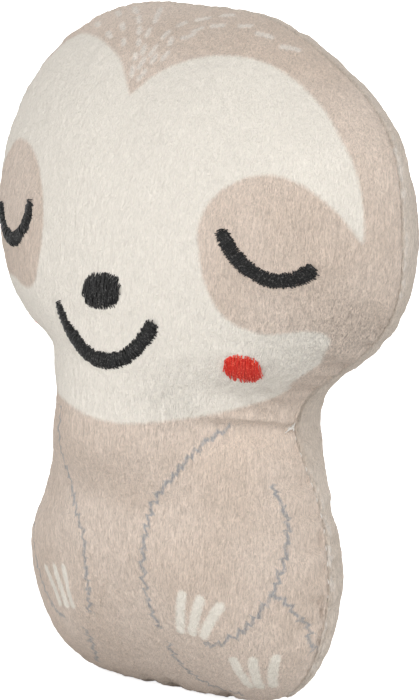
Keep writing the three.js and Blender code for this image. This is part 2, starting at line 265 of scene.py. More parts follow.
@dataclass(frozen=True)
class BagShape:
    """Sewn outline and stuffed depths of the bag, in millimetres above the seam's lowest point."""

    height: float = 170.5
    head_width: float = 125.2
    head_level: float = 118.0
    neck_width: float = 66.0
    neck_level: float = 70.5
    body_width: float = 91.6
    body_level: float = 31.0
    floor_cut: float = 0.5
    bottom_flat: float = 0.67
    bottom_corner: float = 0.93
    body_side: float = 0.22
    neck_below: float = 0.12
    neck_above: float = 0.37
    cheek_side: float = 0.74
    temple: float = 0.78
    crown_flat: float = 0.38
    front_depths: tuple[float, ...] = (29.5, 34.8, 34.5, 35.0)
    back_depths: tuple[float, ...] = (26.5, 30.0, 32.0, 33.0)
    front_power: float = 0.66
    back_power: float = 0.6
    ridge_low: float = 48.645
    ridge_high: float = 102.5
    ridge_blend: float = 8.0
    lip: float = 0.9
    seam_gap: float = 0.12
    # The gap that the CAD leaves between the panels at the seam.
    panel_gap: float = 0.5
    samples: int = 400
    # How the sewn and stuffed bag departs from its pattern, at even places round the rim,
    # from the bottom's middle up the +X side: outline outwards, seam backwards, and the
    # fullness of each panel beside the seam.
    outline_drift: tuple[float, ...] = (
        -0.25, -0.43, 0.91, 1.42, 2.68, 1.22, -0.01, -0.8, 0.1, 1.73, -0.14, 1.22,
        -0.77, 0.59, 0.57, 0.17, 0.39, 0.2, 0.28, 0.26, -1.1, -1.16, -1.36, -0.23,
    )
    seam_drift: tuple[float, ...] = (
        1.41, 1.29, -1.53, -0.66, 0.69, -0.8, 0.31, 3.34, 0.71, 0.3, 0.77, -2.15,
        -1.75, -2.05, 0.05, 0.83, 0.98, 1.63, 0.53, -0.3, -0.57, -0.89, 0.35, -0.18,
    )
    front_fullness: tuple[float, ...] = (
        1.43, 0.69, 0.17, -0.04, -0.08, -0.06, -0.03, -0.01, 0.01, 0.03, 0.06, 0.08,
        0.06, -0.12, -0.64, -1.32, -1.47, -0.54, -1.52, 0.85, -0.26, 0.28, -0.45, 2.26,
    )
    back_fullness: tuple[float, ...] = (
        -0.05, -0.27, -0.68, 0.01, -2.4, 0.28, -0.63, -1.45, 1.85, -3.57, -4.5, -4.08,
        -2.09, -0.69, -0.02, 0.18, 0.16, 0.09, 0.03, 0.01, 0.01, 0.02, 0.04, 0.03,
    )

    def curves(self) -> list[np.ndarray]:
        """The right half outline, from bottom middle to top middle.

        Returns:
            Four Bezier curves, each its end points with the two handles between them.
        """
        head, neck, body = self.head_width / 2, self.neck_width / 2, self.body_width / 2
        corner = self.body_level * (1 - self.bottom_corner)
        side = mix(self.body_level, self.neck_level, self.body_side)
        below = mix(self.neck_level, self.body_level, self.neck_below)
        above = mix(self.neck_level, self.head_level, self.neck_above)
        cheek = mix(self.head_level, self.neck_level, self.cheek_side)
        top = self.height
        temple = mix(self.head_level, top, self.temple)
        curves = (
            ((0, 0), (body * self.bottom_flat, 0), (body, corner), (body, self.body_level)),
            ((body, self.body_level), (body, side), (neck, below), (neck, self.neck_level)),
            ((neck, self.neck_level), (neck, above), (head, cheek), (head, self.head_level)),
            ((head, self.head_level), (head, temple), (head * self.crown_flat, top), (0, top)),
        )
        return [np.array(points) for points in curves]

    def rim(self, columns: int) -> np.ndarray:
        """Points evenly spaced round the whole outline, up the +X side first.

        Args:
            columns: how many points, an even number.

        Returns:
            One row for each point: x, z, outward x, outward z, distance from the start, the
            pattern's z, the share of the way round and the seam's place in y.
        """
        t = np.linspace(0, 1, self.samples + 1)[:, None]
        parts = [
            (1 - t) ** 3 * a + 3 * (1 - t) ** 2 * t * b + 3 * (1 - t) * t**2 * c + t**3 * d
            for a, b, c, d in self.curves()
        ]
        path = np.vstack([part[:-1] for part in parts] + [parts[-1][-1:]])
        gone = np.concatenate([[0], np.cumsum(np.hypot(*np.diff(path, axis=0).T))])
        along = np.gradient(path, gone, axis=0)
        along /= np.hypot(*along.T)[:, None]
        stops = np.linspace(0, gone[-1], columns // 2 + 1)
        x, z = (np.interp(stops, gone, path[:, k]) for k in (0, 1))
        tx, tz = (np.interp(stops, gone, along[:, k]) for k in (0, 1))
        right = np.column_stack([x, z, tz, -tx, stops])
        left = right[-2:0:-1] * [-1, 1, -1, 1, -1] + [0, 0, 0, 0, 2 * gone[-1]]
        rows = np.vstack([right, left])
        share = rows[:, 4] / (2 * gone[-1])
        level = rows[:, 1].copy()
        rows[:, :2] += self.drift(self.outline_drift, share)[:, None] * rows[:, 2:4]
        return np.column_stack([rows, level, share, self.drift(self.seam_drift, share)])

    @staticmethod
    def drift(table: Sequence[float], share: np.ndarray) -> np.ndarray:
        """Reads one of the tables that run evenly round the rim."""
        return read_smoothly(np.array(table), share * len(table), 0, True)

    def ridge(self, level: np.ndarray) -> np.ndarray:
        """Level on the middle ridge that a level of the outline belongs to."""
        share = ease(level, self.ridge_low - self.ridge_blend, self.ridge_high + self.ridge_blend)
        return mix(self.ridge_low, self.ridge_high, share)

    def depth(self, level: np.ndarray, depths: Sequence[float]) -> np.ndarray:
        """Depth of the ridge at a level, eased between the named depths.

        Args:
            level: levels on the ridge.
            depths: the depths at even steps from the ridge's low end to its high end.

        Returns:
            The depth at each level.
        """
        spans = len(depths) - 1
        place = (level - self.ridge_low) / (self.ridge_high - self.ridge_low) * spans
        span = np.clip(np.floor(place), 0, spans - 1).astype(int)
        table = np.array(depths)
        return mix(table[span], table[span + 1], ease(place - span, 0, 1))

    def skin(
        self, panel: Panel, rim: np.ndarray, reach: np.ndarray, inset: float, offset: float
    ) -> np.ndarray:
        """Points of a surface nested in the bag's outside.

        Args:
            panel: the side of the seam.
            rim: the outline's rows.
            reach: for each row of points, 0 at the ridge and 1 at the rim.
            inset: how far the surface lies inside the outer one.
            offset: how far from the seam plane its rim is.

        Returns:
            An array of rows by columns by x, y, z, with the seam plane at y of zero.
        """
        front = panel is Panel.FRONT
        depths = self.front_depths if front else self.back_depths
        power = self.front_power if front else self.back_power
        x, z, out_x, out_z, _, level, place, sway = rim.T
        ridge = self.ridge(level)
        share = reach[:, None]
        swell = (1 - share**2).clip(0) ** power
        fullness = self.drift(self.front_fullness if front else self.back_fullness, place)
        across = share * (x - inset * out_x)
        up = ridge + share * (z - inset * out_z - ridge)
        deep = offset + swell * (self.depth(ridge, depths) - inset - offset)
        # The fullness tells most where share squared is a half, and the product a quarter.
        deep = deep + fullness * 4 * share**2 * (1 - share**2)
        return np.stack([across, panel.value * deep + sway * share**3, up], axis=-1)


def grid_mesh(rows: int, columns: int) -> bmesh.types.BMesh:
    """A flat grid whose vertices remember their row and column.

    Args:
        rows: how many rows of vertices.
        columns: how many columns of faces; the last column of vertices repeats the first.

    Returns:
        The grid, with whole-number layers named row and column.
    """
    grid = bmesh.new()
    row_layer = grid.verts.layers.int.new("row")
    column_layer = grid.verts.layers.int.new("column")
    bmesh.ops.create_grid(grid, x_segments=columns, y_segments=rows - 1, size=1)
    for vertex in grid.verts:
        vertex[column_layer] = round((vertex.co.x + 1) / 2 * columns) % columns
        vertex[row_layer] = round((vertex.co.y + 1) / 2 * (rows - 1))
    return grid


def wrap_grid(points: np.ndarray) -> bmesh.types.BMesh:
    """Closed body from rows of points that each run once round.

    Args:
        points: rows by columns by x, y, z, in millimetres.

    Returns:
        The body in metres, zipped where rows and columns meet, with faces outwards.
    """
    rows, columns = points.shape[:2]
    body = grid_mesh(rows, columns)
    row_layer = body.verts.layers.int["row"]
    column_layer = body.verts.layers.int["column"]
    places = (points * MM).tolist()
    for vertex in body.verts:
        vertex.co = places[vertex[row_layer]][vertex[column_layer]]
    bmesh.ops.remove_doubles(body, verts=body.verts, dist=MERGE_GAP * MM)
    bmesh.ops.dissolve_degenerate(body, edges=body.edges, dist=SLIVER * MM)
    bmesh.ops.recalc_face_normals(body, faces=body.faces)
    return body


def finished(name: str, body: bmesh.types.BMesh, smooth: bool = True) -> bpy.types.Object:
    """Turns a bmesh into an object at the origin.

    Args:
        name: the piece's name.
        body: the shape, in metres; it is freed.
        smooth: whether its faces shade smoothly.

    Returns:
        The object, linked to the scene.
    """
    mesh = bpy.data.meshes.new(name)
    body.to_mesh(mesh)
    body.free()
    mesh.polygons.foreach_set("use_smooth", [smooth] * len(mesh.polygons))
    piece = bpy.data.objects.new(name, mesh)
    bpy.context.scene.collection.objects.link(piece)
    return piece


def declare(
    piece: bpy.types.Object, nodes: Sequence[str]
) -> None:
    """Rides a piece on the body and hides the CAD nodes it stands for.

    Args:
        piece: the finished piece.
        nodes: the CAD nodes that it replaces.
    """
    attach(piece, BODY)
    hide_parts(*nodes)
    LOG.info("%s: %d faces", piece.name, len(piece.data.polygons))


def tube_mesh(name: str, paths: Sequence[Thread], sides: int = 6) -> bpy.types.Object:
    """Threads along open paths, as one mesh object.

    Args:
        name: the piece's name.
        paths: for each thread, its points in metres with its radius there.
        sides: how many sides a thread has, 4 or 6 or 8.

    Returns:
        The object, its place in its mesh.
    """
    curve = bpy.data.curves.new(name + "_lines", "CURVE")
    curve.dimensions = "3D"
    curve.bevel_depth = 1.0
    curve.bevel_resolution = (sides - 4) // 2
    curve.use_fill_caps = True
    for path in paths:
        line = curve.splines.new("POLY")
        line.points.add(len(path) - 1)
        for point, (place, radius) in zip(line.points, path):
            point.co = (*place, 1)
            point.radius = radius
    holder = bpy.data.objects.new(name + "_lines", curve)
    bpy.context.scene.collection.objects.link(holder)
    ready = holder.evaluated_get(bpy.context.evaluated_depsgraph_get())
    mesh = bpy.data.meshes.new_from_object(ready)
    bpy.data.objects.remove(holder)
    bpy.data.curves.remove(curve)
    mesh.name = name
    mesh.polygons.foreach_set("use_smooth", [True] * len(mesh.polygons))
    piece = bpy.data.objects.new(name, mesh)
    bpy.context.scene.collection.objects.link(piece)
    return piece


def spline(places: Sequence[Place], step: float = 1.0) -> np.ndarray:
    """A smooth open line through places, in even steps.

    Args:
        places: the places that it passes, at least two.
        step: the distance between its points.

    Returns:
        Rows of x and z.
    """
    knots = np.array(places, dtype=float)
    padded = np.vstack([2 * knots[0] - knots[1], knots, 2 * knots[-1] - knots[-2]])
    share = np.linspace(0, 1, SPAN_PIECES + 1)[:-1, None]
    spans = zip(padded, padded[1:], padded[2:], padded[3:])
    path = np.vstack([between(*span, share) for span in spans] + [knots[-1:]])
    gone = np.concatenate([[0], np.cumsum(np.hypot(*np.diff(path, axis=0).T))])
    stops = np.linspace(0, gone[-1], max(2, round(gone[-1] / step) + 1))
    return np.column_stack([np.interp(stops, gone, path[:, k]) for k in (0, 1)])


@dataclass(frozen=True)
class BagSimulation:
    """Cloth simulation that gives the stuffed bag its puckers.

    The bag is cut slightly larger than its seam allows and blown up, so the fabric gathers
    along the seam and at the neck, and only those gathers are kept.
    """

    shape: BagShape
    columns: int = 192
    rings: int = 26
    frames: int = 20
    pressure: float = 4.0
    spare_cloth: float = 0.05
    stiffness: float = 15.0
    bending: float = 0.6
    quality: int = 6
    # Blender's cloth is steadier on a bag ten times the size.
    enlarge: float = 10.0
    cap: float = 1.6
    keep_swell: float = 0.1
    smoothing: int = 14
    # Gathers keep this share in the middle of a panel, and all their height beside the seam.
    middle_share: float = 0.04
    seam_reach: tuple[float, float] = (0.55, 0.95)
    # The head's are pressed flatter by its fuller stuffing.
    head_share: float = 0.25
    head_levels: tuple[float, float] = (90.0, 102.0)

    def start(self) -> np.ndarray:
        """Rows of points from the front ridge over the seam to the back ridge.

        Returns:
            Rows by columns by x, y, z in millimetres.
        """
        rim = self.shape.rim(self.columns)
        reach = np.sin(np.linspace(0, QUARTER_TURN, self.rings + 1))
        front = self.shape.skin(Panel.FRONT, rim, reach, 0, 0)
        back = self.shape.skin(Panel.BACK, rim, reach, 0, 0)
        return np.vstack([front, back[-2::-1]])

    def run(self) -> np.ndarray:
        """Simulates the bag.

        Returns:
            How far each point of start() moved, in millimetres, gathers only.
        """
        start = self.start()
        bag = finished("bag_simulation", wrap_grid(start * self.enlarge))
        places = np.empty(len(bag.data.vertices) * 3)
        bag.data.vertices.foreach_get("co", places)
        before = places.reshape(-1, 3).copy()
        rows = np.empty(len(before), dtype=np.int32)
        bag.data.attributes["row"].data.foreach_get("value", rows)
        seam = bag.vertex_groups.new(name="seam")
        seam.add(np.flatnonzero(rows == self.rings).tolist(), 1.0, "REPLACE")
        self.simulate(bag)
        after = np.empty(len(before) * 3)
        ready = bag.evaluated_get(bpy.context.evaluated_depsgraph_get())
        ready.data.vertices.foreach_get("co", after)
        moved = (after.reshape(-1, 3) - before) / (MM * self.enlarge)
        gathers = self.spread(start, before / (MM * self.enlarge), moved)
        bpy.data.objects.remove(bag)
        bpy.context.scene.frame_set(1)
        head = ease(start[..., 2:], *self.head_levels)
        return self.without_swell(gathers) * mix(1.0, self.head_share, head)

    def simulate(self, bag: bpy.types.Object) -> None:
        """Blows the bag up with Blender's cloth, frame by frame.

        Args:
            bag: the closed bag, with its seam as a vertex group.
        """
        cloth = bag.modifiers.new("cloth", "CLOTH")
        settings = cloth.settings
        settings.quality = self.quality
        settings.use_pressure = True
        settings.uniform_pressure_force = self.pressure
        settings.effector_weights.gravity = 0
        settings.vertex_group_mass = "seam"
        settings.shrink_min = -self.spare_cloth
        settings.tension_stiffness = self.stiffness
        settings.compression_stiffness = self.stiffness
        settings.shear_stiffness = self.stiffness
        settings.bending_stiffness = self.bending
        cloth.collision_settings.use_collision = False
        cloth.point_cache.frame_start = 1
        cloth.point_cache.frame_end = self.frames
        for frame in range(1, self.frames + 1):
            bpy.context.scene.frame_set(frame)

    @staticmethod
    def spread(start: np.ndarray, before: np.ndarray, moved: np.ndarray) -> np.ndarray:
        """Gives every grid point the movement of the vertex that it was zipped into.

        Args:
            start: the grid's points.
            before: the bag's vertices as they were.
            moved: how far each vertex moved.

        Returns:
            How far each grid point moved.
        """
        tree = KDTree(len(before))
        for index, place in enumerate(before):
            tree.insert(place, index)
        tree.balance()
        nearest = [tree.find(place)[1] for place in start.reshape(-1, 3)]
        return moved[nearest].reshape(start.shape)

    def without_swell(self, moved: np.ndarray) -> np.ndarray:
        """Takes off the broad swelling, which the shape already has, and caps the rest.

        Args:
            moved: how far each grid point moved.

        Returns:
            What is kept of the movements.
        """
        broad = moved.copy()
        for _ in range(self.smoothing):
            around = (np.roll(broad, 1, 1) + np.roll(broad, -1, 1)) / 2
            ends = np.concatenate([broad[:1], broad, broad[-1:]])
            along = (ends[:-2] + ends[2:]) / 2
            broad = broad / 2 + (around + along) / 4
        kept = moved - (1 - self.keep_swell) * broad
        size = np.linalg.norm(kept, axis=-1, keepdims=True)
        kept = kept * np.minimum(1, self.cap / np.maximum(size, TINY))
        to_seam = 1 - np.abs(np.arange(2 * self.rings + 1) / self.rings - 1)
        share = mix(self.middle_share, 1.0, ease(to_seam, *self.seam_reach))
        LOG.info("gathers: mean %.2f mm, largest %.2f mm", size.mean(), size.max())
        return kept * share[:, None, None]


@dataclass(frozen=True)
class Gathers:
    """How far the fabric lies from its plain shape, over both panels."""

    moved: np.ndarray
    rings: int

    def over(self, panel: Panel, turn: np.ndarray, columns: int) -> np.ndarray:
        """Reads the movements of some rows of a panel, smoothly.

        Args:
            panel: the panel.
            turn: each row's place, 0 at the ridge and a quarter turn at the rim.
            columns: how many columns to read.

        Returns:
            Rows by columns by x, y, z in millimetres.
        """
        place = turn / QUARTER_TURN * self.rings
        rows = place if panel is Panel.FRONT else 2 * self.rings - place
        tall = read_smoothly(self.moved, np.clip(rows, 0, len(self.moved) - 1), 0, False)
        around = np.arange(columns) / columns * self.moved.shape[1]
        return read_smoothly(tall, around, 1, True)


def grid_normals(points: np.ndarray, side: int) -> np.ndarray:
    """Outward directions of a skin's points.

    Args:
        points: rows from ridge to rim by columns round the rim.
        side: the panel's side of the seam.

    Returns:
        Unit directions, one for each point.
    """
    across = np.gradient(points, axis=0)
    around = np.roll(points, -1, 1) - np.roll(points, 1, 1)
    out = np.cross(around, across) * -side
    out[0] = out[1]
    return out / np.maximum(np.linalg.norm(out, axis=-1, keepdims=True), TINY)


@dataclass
class Cover:
    """One fabric panel of the bag: outer skin, rolled lip, turned-in allowance and inner wall."""

    shape: BagShape
    panel: Panel
    seam_y: float
    columns: int = 840
    rings: int = 140
    lip_rows: int = 6
    wall: float = 1.6
    wall_rings: int = 12
    allowance: float = 5.0
    stitch_length: float = 2.6
    stitch_pull: float = 0.2
    stitch_spread: float = 2.2
    # Relief of the pile: fine streaks down the nap and broader tufts, each width by length.
    nap_height: float = 0.24
    nap_size: tuple[float, float] = (0.95, 2.6)
    tuft_height: float = 0.2
    tuft_size: tuple[float, float] = (2.8, 5.5)
    tuft_shift: float = 9.0
    # The relief fades out over this share of the panel beside the seam.
    relief_fade: float = 0.03
    # Rays that look for the skin start this far out.
    ray_start: float = 200.0
    surface: BVHTree | None = field(default=None, repr=False)

    def rows(self, gathers: Gathers) -> np.ndarray:
        """All rows of the panel, from the outer ridge round its lip to the inner ridge.

        Args:
            gathers: how far the fabric lies from its plain shape.

        Returns:
            Rows by columns by x, y, z in millimetres, in the CAD's frame.
        """
        rim = self.shape.rim(self.columns)
        gap, lip = self.shape.seam_gap, self.shape.lip
        turn = np.linspace(0, QUARTER_TURN, self.rings + 1)
        outer = self.shape.skin(self.panel, rim, np.sin(turn), 0, gap + lip)
        outer += gathers.over(self.panel, turn, self.columns)
        outer = self.pull_stitches(outer, rim)
        lips = []
        for step in range(1, self.lip_rows + 1):
            bend = step / self.lip_rows * QUARTER_TURN
            inset, away = lip * (1 - math.cos(bend)), gap + lip * (1 - math.sin(bend))
            lips.append(self.rim_row(rim, inset, away))
        lips.append(self.rim_row(rim, self.allowance, gap))
        lips.append(self.rim_row(rim, self.allowance, gap + self.wall / 2))
        turn = np.linspace(QUARTER_TURN, 0, self.wall_rings + 1)
        inner = self.shape.skin(self.panel, rim, np.sin(turn), self.wall, gap + self.wall)
        inner += gathers.over(self.panel, turn, self.columns)
        every = np.vstack([outer, np.array(lips), inner])
        every[..., 1] += self.seam_y
        every[..., 2] -= self.shape.floor_cut
        return every

    def rim_row(self, rim: np.ndarray, inset: float, away: float) -> np.ndarray:
        """One row that follows the rim.

        Args:
            rim: the outline's rows.
            inset: how far inside the outline it runs.
            away: how far it lies from the seam plane.

        Returns:
            The row's points.
        """
        x, z, out_x, out_z = rim[:, :4].T
        pull = self.stitch_dips(rim)
        flat = self.panel.value * away + rim[:, 7]
        return np.stack([x - (inset + pull) * out_x, flat, z - (inset + pull) * out_z], axis=-1)

    def stitch_dips(self, rim: np.ndarray) -> np.ndarray:
        """How far the seam is drawn in at each column, deepest at each stitch."""
        wave = 0.5 + 0.5 * np.cos(rim[:, 4] / self.stitch_length * 2 * math.pi)
        return self.stitch_pull * wave**2

    def pull_stitches(self, skin: np.ndarray, rim: np.ndarray) -> np.ndarray:
        """Draws the skin in beside each stitch of the seam.

        Args:
            skin: rows of points from the ridge to the rim.
            rim: the outline's rows.

        Returns:
            The skin with its dimples.
        """
        steps = np.linalg.norm(np.diff(skin, axis=0), axis=-1)
        to_rim = np.concatenate([np.cumsum(steps[::-1], axis=0)[::-1], np.zeros((1, self.columns))])
        near = np.exp(-((to_rim / self.stitch_spread) ** 2))[..., None]
        out = np.stack([rim[:, 2], np.zeros(self.columns), rim[:, 3]], axis=-1)
        return skin - near * self.stitch_dips(rim)[:, None] * out

    def pile_relief(self, points: np.ndarray) -> np.ndarray:
        """Height of the brushed pile: streaks down the nap and broader tufts.

        Args:
            points: rows of the skin's points.

        Returns:
            The height at each point.
        """
        flat = points.reshape(-1, 3)
        heights = np.empty(len(flat))
        nap_wide, nap_long = self.nap_size
        tuft_wide, tuft_long = self.tuft_size
        for index, (x, y, z) in enumerate(flat.tolist()):
            nap = noise.noise((x / nap_wide, y / nap_wide, z / nap_long))
            tuft = noise.noise((x / tuft_wide + self.tuft_shift, y / tuft_wide, z / tuft_long))
            heights[index] = self.nap_height * nap + self.tuft_height * tuft
        return heights.reshape(points.shape[:2])

    def build(
        self, name: str, gathers: Gathers, sink: Callable[[np.ndarray], np.ndarray] | None = None
    ) -> bpy.types.Object:
        """Shapes the panel and keeps its smooth surface for the pieces that lie on it.

        Args:
            name: the piece's name.
            gathers: how far the fabric lies from its plain shape.
            sink: how deep thread draws the fabric in at each point.

        Returns:
            The panel's object.
        """
        every = self.rows(gathers)
        outer = every[: self.rings + 1]
        out = grid_normals(outer, self.panel.value)
        if sink is not None:
            outer -= out * sink(outer)[..., None]
        self.surface = BVHTree.FromBMesh(self.settled(every))
        fade = ease(np.linspace(1, 0, self.rings + 1), 0, self.relief_fade)[:, None]
        outer += out * (self.pile_relief(outer) * fade)[..., None]
        return finished(name, self.settled(every))

    @staticmethod
    def settled(every: np.ndarray) -> bmesh.types.BMesh:
        """The panel's body, flat where it stands on the floor.

        Args:
            every: the panel's rows.

        Returns:
            The body in metres.
        """
        resting = every.copy()
        resting[..., 2] = np.maximum(resting[..., 2], 0)
        return wrap_grid(resting)

    def on_skin(self, place: Place, lift: float = 0.0) -> SurfacePoint:
        """The point of the skin over a place of the front or back view.

        Args:
            place: x and z in millimetres.
            lift: how far off the skin the point lies.

        Returns:
            The point in metres, and the skin's outward direction there.
        """
        side = self.panel.value
        start = Vector((place[0] * MM, side * self.ray_start * MM, place[1] * MM))
        hit, normal, _, _ = self.surface.ray_cast(start, Vector((0, -side, 0)))
        if hit is None:
            hit, normal, _, _ = self.surface.find_nearest(Vector((start.x, 0, start.z)))
        if normal.y * side < 0:
            normal = -normal
        return hit + normal * lift * MM, normal


@dataclass(frozen=True)
class PathField:
    """Distances from a cover's vertices to one line drawn on its skin."""

    line: np.ndarray
    # How far off the line distances are measured, and how far it is drawn out past its ends.
    margin: float = 12.0
    overrun: float = 0.0
    # The run of points beyond the margin.
    off_run: float = -1000.0

    @staticmethod
    def over(cover: Cover, places: Sequence[Place], closed: bool = False) -> PathField:
        """Lays a line through places of the view on the cover's skin.

        Args:
            cover: the panel that carries the line.
            places: the places that it passes.
            closed: whether it ends where it starts.

        Returns:
            The line's field.
        """
        flat = spline(list(places) + ([places[0]] if closed else []))
        return PathField(np.array([cover.on_skin(tuple(p))[0] / MM for p in flat]))

    @staticmethod
    def on_view(places: Sequence[Place]) -> PathField:
        """Lays a line through places of the flat view, where y is zero."""
        line = spline(places)
        return PathField(np.column_stack([line[:, 0], np.zeros(len(line)), line[:, 1]]))

    def read(self, points: np.ndarray) -> tuple[np.ndarray, np.ndarray, np.ndarray]:
        """Measures points against the line.

        Args:
            points: rows of x, y, z in millimetres.

        Returns:
            The distance, the run along the line and the side (1 or -1) of each point. Runs
            go below zero and beyond the line's length past its ends.
        """
        line = self.line
        if self.overrun:
            first, last = line[0] - line[2], line[-1] - line[-3]
            before = line[0] + first / np.linalg.norm(first) * self.overrun
            after = line[-1] + last / np.linalg.norm(last) * self.overrun
            line = np.vstack([before, line, after])
        low, high = line.min(0) - self.margin, line.max(0) + self.margin
        inside = np.flatnonzero(((points > low) & (points < high)).all(1))
        near = points[inside]
        best = np.full(len(near), FAR)
        run = np.zeros(len(near))
        side = np.ones(len(near))
        gone = -self.overrun
        for a, b in zip(line, line[1:]):
            span = b - a
            length = np.linalg.norm(span)
            if length < TINY:
                continue
            t = np.clip((near - a) @ span / length**2, 0, 1)
            gap = near - a - t[:, None] * span
            distance = np.linalg.norm(gap, axis=1)
            closer = distance < best
            best = np.where(closer, distance, best)
            run = np.where(closer, gone + t * length, run)
            turn = span[0] * gap[:, 2] - span[2] * gap[:, 0]
            side = np.where(closer, np.where(turn < 0, -1.0, 1.0), side)
            gone += length
        far = np.full(len(points), self.margin)
        far[inside] = np.minimum(best, self.margin)
        runs = np.full(len(points), self.off_run)
        runs[inside] = run
        sides = np.ones(len(points))
        sides[inside] = side
        return far, runs, sides


def inside_outline(points: np.ndarray, outline: np.ndarray) -> np.ndarray:
    """Whether points of the view lie inside a closed outline.

    Args:
        points: rows of x and z.
        outline: the outline's corners.

    Returns:
        True for each point inside.
    """
    x, z = points.T
    inside = np.zeros(len(points), dtype=bool)
    for (x1, z1), (x2, z2) in zip(outline, np.roll(outline, -1, 0)):
        if z1 == z2:
            continue
        crosses = (z1 > z) != (z2 > z)
        inside ^= crosses & (x < (x2 - x1) * (z - z1) / (z2 - z1) + x1)
    return inside


